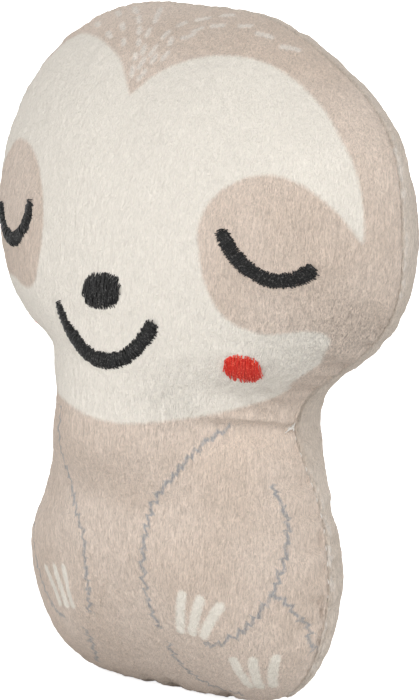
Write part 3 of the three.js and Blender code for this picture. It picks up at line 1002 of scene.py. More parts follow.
@dataclass(frozen=True)
class PrintedArtwork:
    """The sloth printed on the front panel, as lines of the front view in millimetres."""

    mask: tuple[Place, ...] = (
        (-4.1, 148.5), (-2.0, 150.6), (0.0, 153.0), (3.7, 155.6), (7.6, 157.5), (11.6, 159.0),
        (15.8, 159.9), (19.9, 160.3), (23.7, 160.2), (27.6, 159.5), (31.7, 158.0), (35.2, 156.2),
        (38.8, 154.0), (43.2, 151.2), (46.9, 148.2), (50.2, 144.8), (53.3, 140.9), (55.6, 136.8),
        (57.0, 133.1), (57.8, 129.3), (58.3, 125.4), (58.5, 122.4), (58.3, 119.7), (56.6, 123.0),
        (54.2, 126.7), (51.0, 129.9), (47.8, 132.3), (44.4, 133.8), (41.5, 134.5), (38.2, 134.5),
        (34.4, 133.5), (31.0, 131.5), (28.3, 129.0), (26.4, 125.9), (25.4, 122.7), (25.3, 119.4),
        (26.0, 115.8), (26.9, 111.5), (28.0, 107.7), (29.5, 104.0), (31.7, 100.5), (34.5, 98.2),
        (37.6, 96.9), (40.6, 96.4), (43.6, 96.9), (46.2, 97.5), (49.0, 97.6), (50.6, 96.6),
        (50.5, 94.6), (49.3, 92.7), (47.7, 90.6), (45.8, 88.4), (43.6, 86.4), (41.0, 84.3),
        (38.5, 82.2), (36.3, 80.3), (33.6, 78.5), (30.5, 77.0), (27.7, 75.7), (24.7, 74.7),
        (21.1, 73.7), (17.1, 72.7), (12.6, 71.8), (8.3, 71.2), (3.2, 71.0), (-1.8, 71.3),
        (-6.8, 72.0), (-12.2, 72.9), (-18.2, 73.7), (-24.0, 74.9), (-28.5, 76.6), (-33.0, 79.4),
        (-37.5, 82.8), (-41.5, 86.0), (-45.5, 89.4), (-49.0, 93.0), (-50.3, 95.6), (-49.2, 97.2),
        (-45.5, 98.4), (-42.0, 99.0), (-38.2, 98.9), (-33.2, 97.9), (-29.4, 98.5), (-26.3, 100.6),
        (-24.6, 105.3), (-24.0, 110.5), (-24.3, 115.3), (-25.3, 119.7), (-27.3, 123.9),
        (-30.3, 127.9), (-34.0, 130.7), (-38.7, 132.3), (-44.2, 132.4), (-48.4, 130.6),
        (-51.5, 127.7), (-54.2, 124.6), (-56.8, 121.2), (-58.2, 119.0), (-58.2, 121.5),
        (-57.6, 127.0), (-56.4, 132.9), (-54.6, 138.0), (-52.0, 143.5), (-48.6, 148.8),
        (-44.0, 153.4), (-39.0, 156.9), (-34.5, 158.8), (-29.4, 159.6), (-23.3, 159.4),
        (-18.5, 158.4), (-14.1, 157.0), (-11.2, 155.4), (-8.9, 153.4), (-6.6, 151.2),
    )
    arm_inner: tuple[tuple[Place, ...], ...] = (
        (
            (27.8, 71.6), (26.0, 70.2), (24.1, 67.3), (22.1, 64.4), (20.6, 62.0), (18.6, 59.0),
            (16.2, 56.0), (14.2, 53.0), (12.6, 49.6), (11.9, 46.0), (11.5, 41.9), (11.2, 37.7),
            (11.0, 33.7), (11.2, 29.9), (11.6, 26.5), (12.2, 23.0), (13.2, 20.4),
        ),
        (
            (-16.4, 71.2), (-16.0, 66.0), (-16.2, 62.4), (-16.0, 59.4), (-14.8, 56.4),
            (-13.7, 53.2), (-12.8, 49.8), (-11.0, 46.2), (-9.0, 43.0), (-7.9, 39.7), (-7.4, 36.0),
            (-7.0, 31.8), (-7.0, 27.9), (-7.4, 23.9), (-8.0, 20.5),
        ),
    )
    arm_outer: tuple[tuple[Place, ...], ...] = (
        (
            (35.4, 58.0), (36.6, 55.8), (38.0, 53.6), (39.3, 50.8), (40.2, 47.6), (40.8, 44.2),
            (41.0, 41.1), (41.0, 38.2), (40.8, 35.2), (40.2, 32.4), (39.2, 30.0), (37.9, 27.4),
            (36.0, 24.4), (33.6, 21.8), (30.6, 19.6), (27.9, 18.4), (25.4, 18.2),
        ),
        (
            (-36.8, 57.0), (-38.6, 51.0), (-38.2, 44.0), (-36.2, 38.6), (-34.0, 34.4),
            (-32.9, 30.6), (-31.6, 26.2), (-30.0, 22.4), (-27.2, 19.2), (-23.3, 17.2),
            (-19.2, 16.9),
        ),
    )
    legs: tuple[tuple[Place, ...], ...] = (
        (
            (40.2, 32.2), (41.9, 31.0), (43.4, 29.0), (44.5, 26.4), (45.3, 23.7), (45.9, 20.8),
            (45.9, 17.6),
        ),
        (
            (27.4, 4.1), (22.8, 4.4), (18.9, 5.5), (16.0, 7.7), (14.4, 10.7), (13.8, 13.7),
            (14.2, 16.6),
        ),
        ((-12.2, 15.8), (-11.5, 13.0), (-12.9, 9.0), (-15.9, 4.9)),
    )
    claws: tuple[tuple[Place, Place], ...] = (
        ((21.4, 30.2), (19.5, 21.0)), ((25.7, 29.5), (22.7, 20.9)), ((30.1, 28.4), (25.7, 20.7)),
        ((-26.0, 27.7), (-20.3, 20.6)), ((-21.4, 29.0), (-16.8, 21.0)), ((-16.8, 29.9), (-13.8, 21.6)),
        ((31.3, 14.6), (31.9, 7.8)), ((35.7, 15.1), (34.3, 7.9)), ((40.2, 16.1), (37.5, 8.7)),
        ((-37.3, 14.6), (-36.6, 7.8)), ((-41.2, 15.1), (-38.7, 8.9)), ((-44.6, 16.1), (-41.2, 10.2)),
    )
    claw_width: float = 2.5
    hairs: tuple[tuple[Place, ...], ...] = (
        ((-18.8, 167.0), (-16.1, 166.3)), ((-14.3, 165.4), (-12.8, 164.4)),
        ((-11.4, 163.2), (-10.5, 162.1)), ((-9.3, 160.6), (-8.7, 159.8)), ((-8.1, 163.2), (-7.6, 161.8)),
        ((-6.5, 159.4), (-6.2, 158.1)), ((-7.8, 157.5), (-7.4, 156.7)), ((-6.6, 154.5), (-6.0, 152.9)),
        ((-10.2, 167.7), (-8.9, 165.9), (-8.2, 165.0)), ((-2.1, 163.3), (-2.5, 162.0)),
        ((-3.1, 159.9), (-3.6, 157.9)), ((-1.7, 157.9), (-1.9, 156.5)), ((-2.6, 154.2), (-3.4, 152.4)),
        ((-4.6, 156.9), (-4.8, 154.7)), ((0.0, 162.0), (0.4, 160.8)), ((0.4, 165.7), (-0.7, 164.9)),
        ((6.0, 163.7), (3.3, 162.5)), ((11.9, 168.7), (9.1, 168.2)), ((6.2, 167.4), (3.1, 166.6)),
        ((19.5, 167.0), (16.9, 166.8)), ((12.4, 166.4), (9.5, 166.0)), ((6.9, 165.2), (4.9, 164.4)),
        ((25.7, 165.0), (22.4, 165.5)), ((1.6, 158.9), (0.8, 157.4)), ((-24.1, 165.5), (-21.9, 165.0)),
        ((-17.9, 163.3), (-16.4, 162.5)), ((-29.5, 162.2), (-26.8, 161.9)),
        ((-21.3, 161.0), (-19.3, 160.3)), ((-14.0, 160.2), (-13.1, 159.2)),
        ((32.1, 162.5), (29.1, 163.1)),
    )
    hair_width: float = 1.4
    # Values off the print: inside a mark, along a line, and how far lines are drawn out.
    off_mark: float = -6.0
    off_line: float = -100.0
    line_overrun: float = 20.0
    # Painted light and shade: spots where the colour is lightened or darkened to stand in for how light
    # falls, each with x, z, radius and how much lighter or darker it is seen.
    painted_light_and_shade: tuple[tuple[float, float, float, float], ...] = (
        (28.5, 67.0, 9.0, 0.15), (19.0, 77.0, 8.0, -0.1), (54.5, 97.0, 9.0, -0.17),
        (42.0, 91.5, 8.0, -0.07), (42.0, 142.0, 16.0, 0.07), (21.0, 47.0, 13.0, 0.05),
    )

    def write(self, piece: bpy.types.Object, cover: Cover) -> None:
        """Stores the artwork on the panel's vertices as distances for its material.

        Args:
            piece: the front panel's object.
            cover: the panel it was made from.
        """
        count = len(piece.data.vertices)
        points = np.empty(count * 3)
        piece.data.vertices.foreach_get("co", points)
        points = points.reshape(-1, 3) / MM
        view = points[:, [0, 2]]

        distance, _, _ = PathField.over(cover, self.mask, closed=True).read(points)
        outline = spline(list(self.mask) + [self.mask[0]])
        self.store(piece, "mask", np.where(inside_outline(view, outline), distance, -distance))

        for name, lines, flips in (
            ("arm_inner", self.arm_inner, (1, -1)),
            ("arm_outer", self.arm_outer, (1, -1)),
            ("leg", self.legs, (1, 1, -1)),
        ):
            side, run = self.lines(points, cover, lines, flips)
            self.store(piece, name + "_side", side)
            self.store(piece, name + "_run", run)

        # Painted light and shade, spot by spot, for the material to lighten or darken the colour.
        painted_spots = np.zeros(count)
        for x, z, radius, change in self.painted_light_and_shade:
            painted_spots += change * np.exp(-((view - [x, z]) ** 2).sum(axis=1) / radius**2)
        self.store(piece, "painted_light_and_shade", painted_spots)

        for name, strokes, width in (
            ("claws", self.claws, self.claw_width),
            ("hairs", self.hairs, self.hair_width),
        ):
            inside = np.full(count, self.off_mark)
            for stroke in strokes:
                distance, _, _ = PathField.over(cover, stroke).read(points)
                inside = np.maximum(inside, width / 2 - distance)
            self.store(piece, name, inside)

    def lines(
        self,
        points: np.ndarray,
        cover: Cover,
        lines: Sequence[Sequence[Place]],
        flips: Sequence[int],
    ) -> tuple[np.ndarray, np.ndarray]:
        """Signed distance and run of the nearest of some drawn lines.

        Args:
            points: the panel's vertices.
            cover: the front panel.
            lines: the lines of one group.
            flips: a sign for each line, so that neighbours agree between them.

        Returns:
            The signed distances, and the runs, which are below zero off the lines' ends.
        """
        best = np.full(len(points), FAR)
        side = np.full(len(points), PathField.margin)
        run = np.full(len(points), self.off_line)
        for places, flip in zip(lines, flips):
            drawn = PathField.over(cover, places)
            real, _, _ = drawn.read(points)
            distance, along, hand = replace(drawn, overrun=self.line_overrun).read(points)
            length = np.linalg.norm(np.diff(drawn.line, axis=0), axis=1).sum()
            closer = real < best
            best = np.where(closer, real, best)
            side = np.where(closer, distance * hand * flip, side)
            # Past the line's end the run turns negative, as it is before the start.
            run = np.where(closer, np.where(along > length, -1 - (along - length), along), run)
        return side, run

    @staticmethod
    def store(piece: bpy.types.Object, name: str, values: np.ndarray) -> None:
        """Writes one number for each vertex."""
        layer = piece.data.attributes.new(name, "FLOAT", "POINT")
        layer.data.foreach_set("value", values.astype(np.float32))


@dataclass(frozen=True)
class Drift:
    """A value that drifts between two others in patches of a real width and length."""

    wide: float
    long: float
    levels: tuple[float, float]
    values: tuple[float, float] = (0.0, 1.0)
    detail: float = 1.0
    roughness: float = 0.6

    def value(self, tree: bpy.types.NodeTree) -> Socket:
        """The drifting value, from noise whose two levels give the two values.

        Args:
            tree: the material's nodes.

        Returns:
            The value.
        """
        size = (self.wide, self.wide, self.long)
        grain = grain_noise(tree, size, self.detail, roughness=self.roughness)
        (low, high), (least, most) = self.levels, self.values
        spread = {0: grain, 1: low, 2: high, 3: least, 4: most}
        return add_node(tree, "MapRange", spread).outputs[0]


@dataclass(frozen=True)
class PileFabric:
    """Velboa, a knitted polyester with a short pile that is brushed down.

    The eye sees no shine but fine streaks along the nap, lighter and darker clouds where the
    pile lies differently, and a soft bloom where the fabric turns away.
    """

    name: str
    colour: str
    shade: str
    roughness: float = 0.95
    specular: float = 0.15
    sheen: float = 0.3
    sheen_roughness: float = 0.5
    sheen_tint: str = "#fff8f0"
    # The nap's fibres lie in bundles half a millimetre wide.
    nap_wide: float = 0.5
    nap_long: float = 2.6
    nap_detail: float = 1.5
    fine_detail: float = 1.0
    nap_roughness: float = 0.6
    nap_bump: float = 0.75
    nap_strength: float = 0.7
    curl: float = 1.0
    clouds: Drift = Drift(22.0, 22.0, (0.35, 0.65))
    # How far the streaks lighten and darken the colour, and how much shows where it is calm.
    streak: float = 0.22
    streak_levels: tuple[float, float] = (0.72, 1.28)
    calm_share: float = 0.38

    def nap(self, tree: bpy.types.NodeTree) -> tuple[Socket, Socket]:
        """Fine streaks of the nap, and their bump as a normal.

        Args:
            tree: the material's nodes.

        Returns:
            The streaks' factor, from 0 to 2, and the bumped normal.
        """
        size = (self.nap_wide, self.nap_wide, self.nap_long)
        fine = (self.nap_wide / 2, self.nap_wide / 2, self.nap_long / 3)
        streaks = grain_noise(tree, size, self.nap_detail, self.curl, self.nap_roughness)
        fibres = grain_noise(tree, fine, self.fine_detail, self.curl, self.nap_roughness)
        both = add_node(tree, "Math", {0: streaks, 1: fibres}, operation="ADD").outputs[0]
        bump = {"Strength": self.nap_strength, "Distance": self.nap_bump * MM, "Height": both}
        return both, add_node(tree, "Bump", bump).outputs[0]

    def dyed(self, tree: bpy.types.NodeTree) -> tuple[Socket, Socket | float]:
        """The dyed ground, clouded where the pile lies differently.

        Args:
            tree: the material's nodes.

        Returns:
            The colour, and how calm the pile lies: one where it is smooth, below zero where it
            is rough.
        """
        colours = {0: self.clouds.value(tree), 6: linear(self.shade), 7: linear(self.colour)}
        return add_node(tree, "Mix", colours, data_type="RGBA").outputs[2], 0.0

    def material(self) -> bpy.types.Material:
        """Builds the fabric's finish, its colour lighter and darker from streak to streak.

        Returns:
            The material.
        """
        material, tree, output = new_material(self.name)
        streaks, normal = self.nap(tree)
        colour, calm = self.dyed(tree)
        low, high = self.streak_levels
        tone = {0: streaks, 1: low, 2: high, 3: 1 - self.streak, 4: 1 + self.streak}
        deep = add_node(tree, "MapRange", {0: calm, 3: 1.0, 4: self.calm_share}, clamp=False)
        streaked = add_node(
            tree,
            "Mix",
            {0: deep.outputs[0], 6: colour, 7: add_node(tree, "MapRange", tone).outputs[0]},
            data_type="RGBA",
            blend_type="MULTIPLY",
            clamp_factor=False,
        )
        shader = add_node(
            tree,
            "BsdfPrincipled",
            {
                "Base Color": streaked.outputs[2],
                "Normal": normal,
                "Roughness": self.roughness,
                "Specular IOR Level": self.specular,
                "Sheen Weight": self.sheen,
                "Sheen Roughness": self.sheen_roughness,
                "Sheen Tint": linear(self.sheen_tint),
            },
        )
        tree.links.new(shader.outputs[0], output.inputs[0])
        return material


@dataclass(frozen=True)
class PlainPile(PileFabric):
    """The back panel's dyed pile, with pale flecks in its colour beside the seam."""

    seam_fleck: str = "#ece7e1"
    fleck_reach: tuple[float, float] = (0.3, 2.6)
    fleck_patches: Drift = Drift(1.6, 3.0, (0.5, 0.62), (0.0, 0.5))

    def dyed(self, tree: bpy.types.NodeTree) -> tuple[Socket, Socket | float]:
        """The dyed ground with pale flecks beside the seam.

        Args:
            tree: the material's nodes.

        Returns:
            The colour, and how calm the pile lies.
        """
        ground, calm = super().dyed(tree)
        gap = add_node(tree, "Attribute", attribute_name="seam_gap").outputs["Fac"]
        near, far = self.fleck_reach
        fades = {0: gap, 1: near, 2: far, 3: 1.0, 4: 0.0}
        close = add_node(tree, "MapRange", fades, interpolation_type="SMOOTHSTEP").outputs[0]
        both = {0: close, 1: self.fleck_patches.value(tree)}
        seam_fleck = add_node(tree, "Math", both, operation="MULTIPLY").outputs[0]
        flecks = {0: seam_fleck, 6: ground, 7: linear(self.seam_fleck)}
        return add_node(tree, "Mix", flecks, data_type="RGBA").outputs[2], calm


@dataclass(frozen=True)
class PrintedPile(PileFabric):
    """The front panel's pile, with the sloth printed into it."""

    cream: str = "#ede7dd"
    line: str = "#98999c"
    claw: str = "#eee8dd"
    hair: str = "#e4dbd2"
    # Half widths of the print's soft edges, and how far the pile frays them.
    edge: float = 0.55
    mark_edge: float = 0.34
    fringe: Drift = Drift(0.5, 0.8, (0.25, 0.75), (-0.3, 0.3), 1.5)
    # The furry outlines are drawn like a saw's teeth: long strokes and short hooks back, in
    # a spacing and a swing that drift. The ink is whole at the first distance from a stroke's
    # middle and gone at the second, and thins where a stroke slants.
    line_strength: float = 0.88
    line_period: float = 3.1
    line_edge: tuple[float, float] = (0.175, 0.725)
    line_start: tuple[float, float] = (-0.2, 0.4)
    long_share: float = 0.76
    slopes: tuple[float, float] = (0.93, 0.6)
    spacing: Drift = Drift(5.0, 5.0, (0.0, 1.0), (0.0, 1.6))
    swing: Drift = Drift(6.0, 6.0, (0.35, 0.65), (0.682, 1.86), 0.0)
    rough: Drift = Drift(0.5, 0.8, (0.3, 0.7), (-0.18, 0.18))
    gaps: Drift = Drift(0.8, 1.2, (0.3, 0.55), (0.4, 1.0))
    # Where the painted shade is this much darker, the streaks are this much rougher.
    rough_painted_shade: float = -0.17
    rough_streaks: float = 1.3

    @staticmethod
    def area(tree: bpy.types.NodeTree, name: str, fringe: Socket, edge: float) -> Socket:
        """Factor of a printed area, one inside it.

        Args:
            tree: the material's nodes.
            name: the attribute that holds the distance from the area's edge.
            fringe: how far the edge frays.
            edge: half the width of the soft edge.

        Returns:
            The factor.
        """
        place = add_node(tree, "Attribute", attribute_name=name).outputs["Fac"]
        frayed = add_node(tree, "Math", {0: place, 1: fringe}, operation="ADD").outputs[0]
        return add_node(tree, "MapRange", {0: frayed, 1: -edge, 2: edge}).outputs[0]

    def outlines(self, tree: bpy.types.NodeTree, name: str) -> Socket:
        """Factor of one group of furry outlines.

        Args:
            tree: the material's nodes.
            name: the group's name in the artwork.

        Returns:
            The factor, one on the line.
        """
        run = add_node(tree, "Attribute", attribute_name=name + "_run").outputs["Fac"]
        side = add_node(tree, "Attribute", attribute_name=name + "_side").outputs["Fac"]
        # How far along its tooth a place is, 0 where a long stroke starts and 1 at the next.
        share = run
        for kind, other in (
            ("DIVIDE", self.line_period),
            ("ADD", self.spacing.value(tree)),
            ("FRACT", 0.0),
        ):
            share = add_node(tree, "Math", {0: share, 1: other}, operation=kind).outputs[0]
        # The hook falls from 1 to 0 over the rest of the tooth, as the stroke rose.
        hook = share
        for kind, other in (("SUBTRACT", 1.0), ("DIVIDE", self.long_share - 1)):
            hook = add_node(tree, "Math", {0: hook, 1: other}, operation=kind).outputs[0]
        aside = share
        for kind, other in (
            ("DIVIDE", self.long_share),
            ("MINIMUM", hook),
            ("SUBTRACT", 0.5),
            ("MULTIPLY", self.swing.value(tree)),
        ):
            aside = add_node(tree, "Math", {0: aside, 1: other}, operation=kind).outputs[0]
        turned = {0: share, 1: self.long_share}
        turned = add_node(tree, "Math", turned, operation="GREATER_THAN").outputs[0]
        slopes = {0: turned, 3: self.slopes[0], 4: self.slopes[1]}
        across = side
        for kind, other in (
            ("SUBTRACT", aside),
            ("ABSOLUTE", 0.0),
            ("MULTIPLY", add_node(tree, "MapRange", slopes).outputs[0]),
            ("ADD", self.rough.value(tree)),
        ):
            across = add_node(tree, "Math", {0: across, 1: other}, operation=kind).outputs[0]
        whole, gone = self.line_edge
        ink = add_node(tree, "MapRange", {0: across, 1: whole, 2: gone, 3: 1.0, 4: 0.0}).outputs[0]
        start, full = self.line_start
        ends = add_node(tree, "MapRange", {0: run, 1: start, 2: full}).outputs[0]
        for other in (ends, self.gaps.value(tree)):
            ink = add_node(tree, "Math", {0: ink, 1: other}, operation="MULTIPLY").outputs[0]
        return ink

    def dyed(self, tree: bpy.types.NodeTree) -> tuple[Socket, Socket | float]:
        """The dyed ground with the print on it, and painted light and shade in spots.

        Args:
            tree: the material's nodes.

        Returns:
            The colour, and how calm the pile lies.
        """
        colour, _ = super().dyed(tree)
        fringe = self.fringe.value(tree)
        drawn = self.outlines(tree, "arm_inner")
        for name in ("arm_outer", "leg"):
            both = {0: drawn, 1: self.outlines(tree, name)}
            drawn = add_node(tree, "Math", both, operation="MAXIMUM").outputs[0]
        lines = add_node(tree, "Math", {0: drawn, 1: self.line_strength}, operation="MULTIPLY")
        cream = self.area(tree, "mask", fringe, self.edge)
        claws = self.area(tree, "claws", fringe, self.mark_edge)
        hairs = self.area(tree, "hairs", fringe, self.mark_edge)
        for factor, ink in (
            (lines.outputs[0], self.line),
            (cream, self.cream),
            (claws, self.claw),
            (hairs, self.hair),
        ):
            inks = {0: factor, 6: colour, 7: linear(ink)}
            colour = add_node(tree, "Mix", inks, data_type="RGBA").outputs[2]

        # Painted light and shade: the colour is lightened or darkened spot by spot.
        painted_tone = add_node(tree, "Attribute", attribute_name="painted_light_and_shade").outputs["Fac"]
        shade = add_node(tree, "Math", {0: painted_tone, 1: 1.0}, operation="ADD").outputs[0]
        shades = {0: 1.0, 6: colour, 7: shade}
        colour = add_node(tree, "Mix", shades, data_type="RGBA", blend_type="MULTIPLY").outputs[2]
        calm = add_node(tree, "Math", {0: cream, 1: claws}, operation="MAXIMUM").outputs[0]
        stroked = {0: painted_tone, 1: 0.0, 2: self.rough_painted_shade, 3: 0.0, 4: self.rough_streaks}
        rough = add_node(tree, "MapRange", stroked).outputs[0]
        calm = add_node(tree, "Math", {0: calm, 1: rough}, operation="SUBTRACT").outputs[0]
        return colour, calm


@dataclass(frozen=True)
class FibreFinish:
    """Finish of a thread or of loose fibre, in two tones from fibre to fibre."""

    name: str
    dark: str
    light: str
    roughness: float = 0.8
    specular: float = 0.25
    sheen: float = 0.2
    # The pattern's size along x, y and z, the turns of its crossing sets, how wavy it is and
    # how many finer layers lie on it.
    grain: tuple[float, float, float] = (0.2, 0.2, 0.2)
    turns: tuple[tuple[float, float, float], ...] = ((0.0, 0.0, 0.0),)
    wave: float = 0.0
    detail: float = 2.0
    # The noise's levels that are wholly dark and wholly light.
    levels: tuple[float, float] = (0.3, 0.7)
    bump: float = 0.05
    bump_strength: float = 0.6

    def material(self) -> bpy.types.Material:
        """Builds the finish.

        Returns:
            The material.
        """
        material, tree, output = new_material(self.name)
        sets = [
            grain_noise(tree, self.grain, self.detail, self.wave, turn=turn) for turn in self.turns
        ]
        height = sets[0]
        for other in sets[1:]:
            height = add_node(tree, "Math", {0: height, 1: other}, operation="MAXIMUM").outputs[0]
        low, high = self.levels
        share = add_node(tree, "MapRange", {0: height, 1: low, 2: high}).outputs[0]
        tones = {0: share, 6: linear(self.dark), 7: linear(self.light)}
        bump = {"Strength": self.bump_strength, "Distance": self.bump * MM, "Height": height}
        shader = add_node(
            tree,
            "BsdfPrincipled",
            {
                "Base Color": add_node(tree, "Mix", tones, data_type="RGBA").outputs[2],
                "Normal": add_node(tree, "Bump", bump).outputs[0],
                "Roughness": self.roughness,
                "Specular IOR Level": self.specular,
                "Sheen Weight": self.sheen,
            },
        )
        tree.links.new(shader.outputs[0], output.inputs[0])
        return material


@dataclass(frozen=True)
class SpunThread(FibreFinish):
    """Spun polyester sewing thread: the eye sees it matt, a little hairy and uneven."""


@dataclass(frozen=True)
class EmbroideryThread(FibreFinish):
    """Rayon embroidery thread, smooth filament with a light twist.

    The eye sees a deep colour, and paler specks where single threads catch the light; the specks are
    painted glints in the colour.
    """

    roughness: float = 0.36
    specular: float = 0.28
    sheen: float = 0.0
    grain: tuple[float, float, float] = (0.4, 0.4, 0.4)
    levels: tuple[float, float] = (0.56, 0.7)
    bump: float = 0.06
    bump_strength: float = 0.5


@dataclass(frozen=True)
class PolyesterFill(FibreFinish):
    """Polyester fibre, crimped and loose as filling or bonded flat as a nonwoven web.

    The eye sees it white and matt, crossed by wavy fibres that lie at random.
    """

    roughness: float = 0.9
    specular: float = 0.2
    sheen: float = 0.3
    grain: tuple[float, float, float] = (0.6, 0.6, 4.0)
    turns: tuple[tuple[float, float, float], ...] = ((0.4, 0.28, 0.52), (1.9, 1.33, 2.47))
    wave: float = 1.2
    levels: tuple[float, float] = (0.4, 0.7)
    bump: float = 0.5
    bump_strength: float = 0.7


@dataclass(frozen=True)
class SatinPatch:
    """One satin-stitched patch: close threads laid across a stroke or an oval."""

    name: str
    slot: str
    centre_line: tuple[Place, ...]
    width: float
    # Threads on top: how high they arch, how close they lie, and how unevenly.
    rise: float = 0.8
    spacing: float = 0.2
    thread: float = 0.14
    slant: float = 0.1
    lean: float = 0.35
    ragged: float = 0.34
    reach_spread: tuple[float, float] = (-0.9, 1.0)
    lift_spread: tuple[float, float] = (-0.2, 0.14)
    thread_spread: tuple[float, float] = (0.8, 1.1)
    # Their arch: steps along it, the powers that shape it, its depth at the ends and its top.
    arch_steps: int = 8
    arch_flat: float = 2.6
    arch_round: float = 0.6
    arch_root: float = 0.35
    arch_top: float = 0.25
    # The stroke's ends: how round, how narrow at most, and a tapered start.
    end_round: float = 0.55
    end_share: float = 0.2
    taper: float = 0.0
    taper_share: float = 0.6
    least_half: float = 0.3
    oval: bool = False
    # Threads underneath, which keep the patch full.
    pad_step: float = 0.8
    pad_spacing: float = 0.6
    pad_thread: float = 0.36
    pad_share: float = 0.82
    pad_root: float = 0.6

    @staticmethod
    def frame_at(line: np.ndarray, index: int) -> tuple[np.ndarray, np.ndarray]:
        """A point of the centre line and the direction across it.

        Args:
            line: the centre line's points.
            index: the point's number.

        Returns:
            The point, and the unit direction across the line there.
        """
        low, high = max(index - 2, 0), min(index + 2, len(line) - 1)
        along = line[high] - line[low]
        along = along / np.linalg.norm(along)
        return line[index], np.array([-along[1], along[0]])

    def half_width(self, share: float, length: float) -> float:
        """Half the stitched width at a place along the patch.

        Args:
            share: how far along it is, from 0 to 1.
            length: the centre line's length.

        Returns:
            Half the width.
        """
        if self.oval:
            return self.width / 2 * max(0.0, 1 - (2 * share - 1) ** 2) ** 0.5
        full = self.width / 2
        if share * length < self.taper:
            full *= mix(self.taper_share, 1.0, share * length / self.taper)
        from_end = min(share, 1 - share) * length
        cap = self.width * self.end_round
        if from_end >= cap:
            return full
        return full * max(self.end_share, 1 - (1 - from_end / cap) ** 2) ** 0.5

    def stitches(self, cover: Cover, dice: random.Random) -> list[Thread]:
        """The threads on top, each an arch from edge to edge.

        Args:
            cover: the front panel.
            dice: the seeded random source.

        Returns:
            For each thread its points with its radius.
        """
        line = spline(self.centre_line, self.spacing)
        length = self.spacing * (len(line) - 1)
        threads = []
        for index in range(len(line)):
            middle, across = self.frame_at(line, index)
            half = self.half_width(index / (len(line) - 1), length)
            if half < self.least_half:
                continue
            along = np.array([across[1], -across[0]])
            lean = self.slant + self.lean * dice.uniform(-1.0, 1.0)
            reach = [half + self.ragged * dice.uniform(*self.reach_spread) for _ in (0, 1)]
            crest = self.rise + dice.uniform(*self.lift_spread) + self.arch_top
            radius = self.thread * dice.uniform(*self.thread_spread) * MM
            path = []
            for step in range(self.arch_steps + 1):
                share = 2 * step / self.arch_steps - 1
                far = share * reach[0 if share < 0 else 1]
                spot = middle + across * far + along * far * lean
                arch = (1 - abs(share) ** self.arch_flat) ** self.arch_round
                lift = crest * arch - self.arch_root
                path.append((cover.on_skin(tuple(spot), lift)[0], radius))
            threads.append(path)
        return threads

    def padding(self, cover: Cover) -> list[Thread]:
        """The threads laid lengthwise underneath.

        Args:
            cover: the front panel.

        Returns:
            For each thread its points with its radius.
        """
        line = spline(self.centre_line, self.pad_step)
        length = self.pad_step * (len(line) - 1)
        count = max(3, round(self.width / self.pad_spacing))
        threads = []
        for number in range(count):
            share = (number + 0.5) / count * 2 - 1
            lift = self.rise * (1 - share**2) ** self.arch_round - self.pad_root
            path = []
            for index in range(1, len(line) - 1):
                middle, across = self.frame_at(line, index)
                half = self.half_width(index / (len(line) - 1), length) * self.pad_share
                spot = middle + across * half * share
                path.append((cover.on_skin(tuple(spot), lift)[0], self.pad_thread * MM))
            if len(path) > 1:
                threads.append(path)
        return threads

    def build(self, cover: Cover, finish: EmbroideryThread, dice: random.Random) -> None:
        """Makes the patch and dresses it.

        Args:
            cover: the front panel.
            finish: the thread it is stitched with.
            dice: the seeded random source.
        """
        piece = tube_mesh(self.name + "_satin", self.padding(cover) + self.stitches(cover, dice))
        piece.data.materials.append(finish.material())
        declare(piece, [self.name])


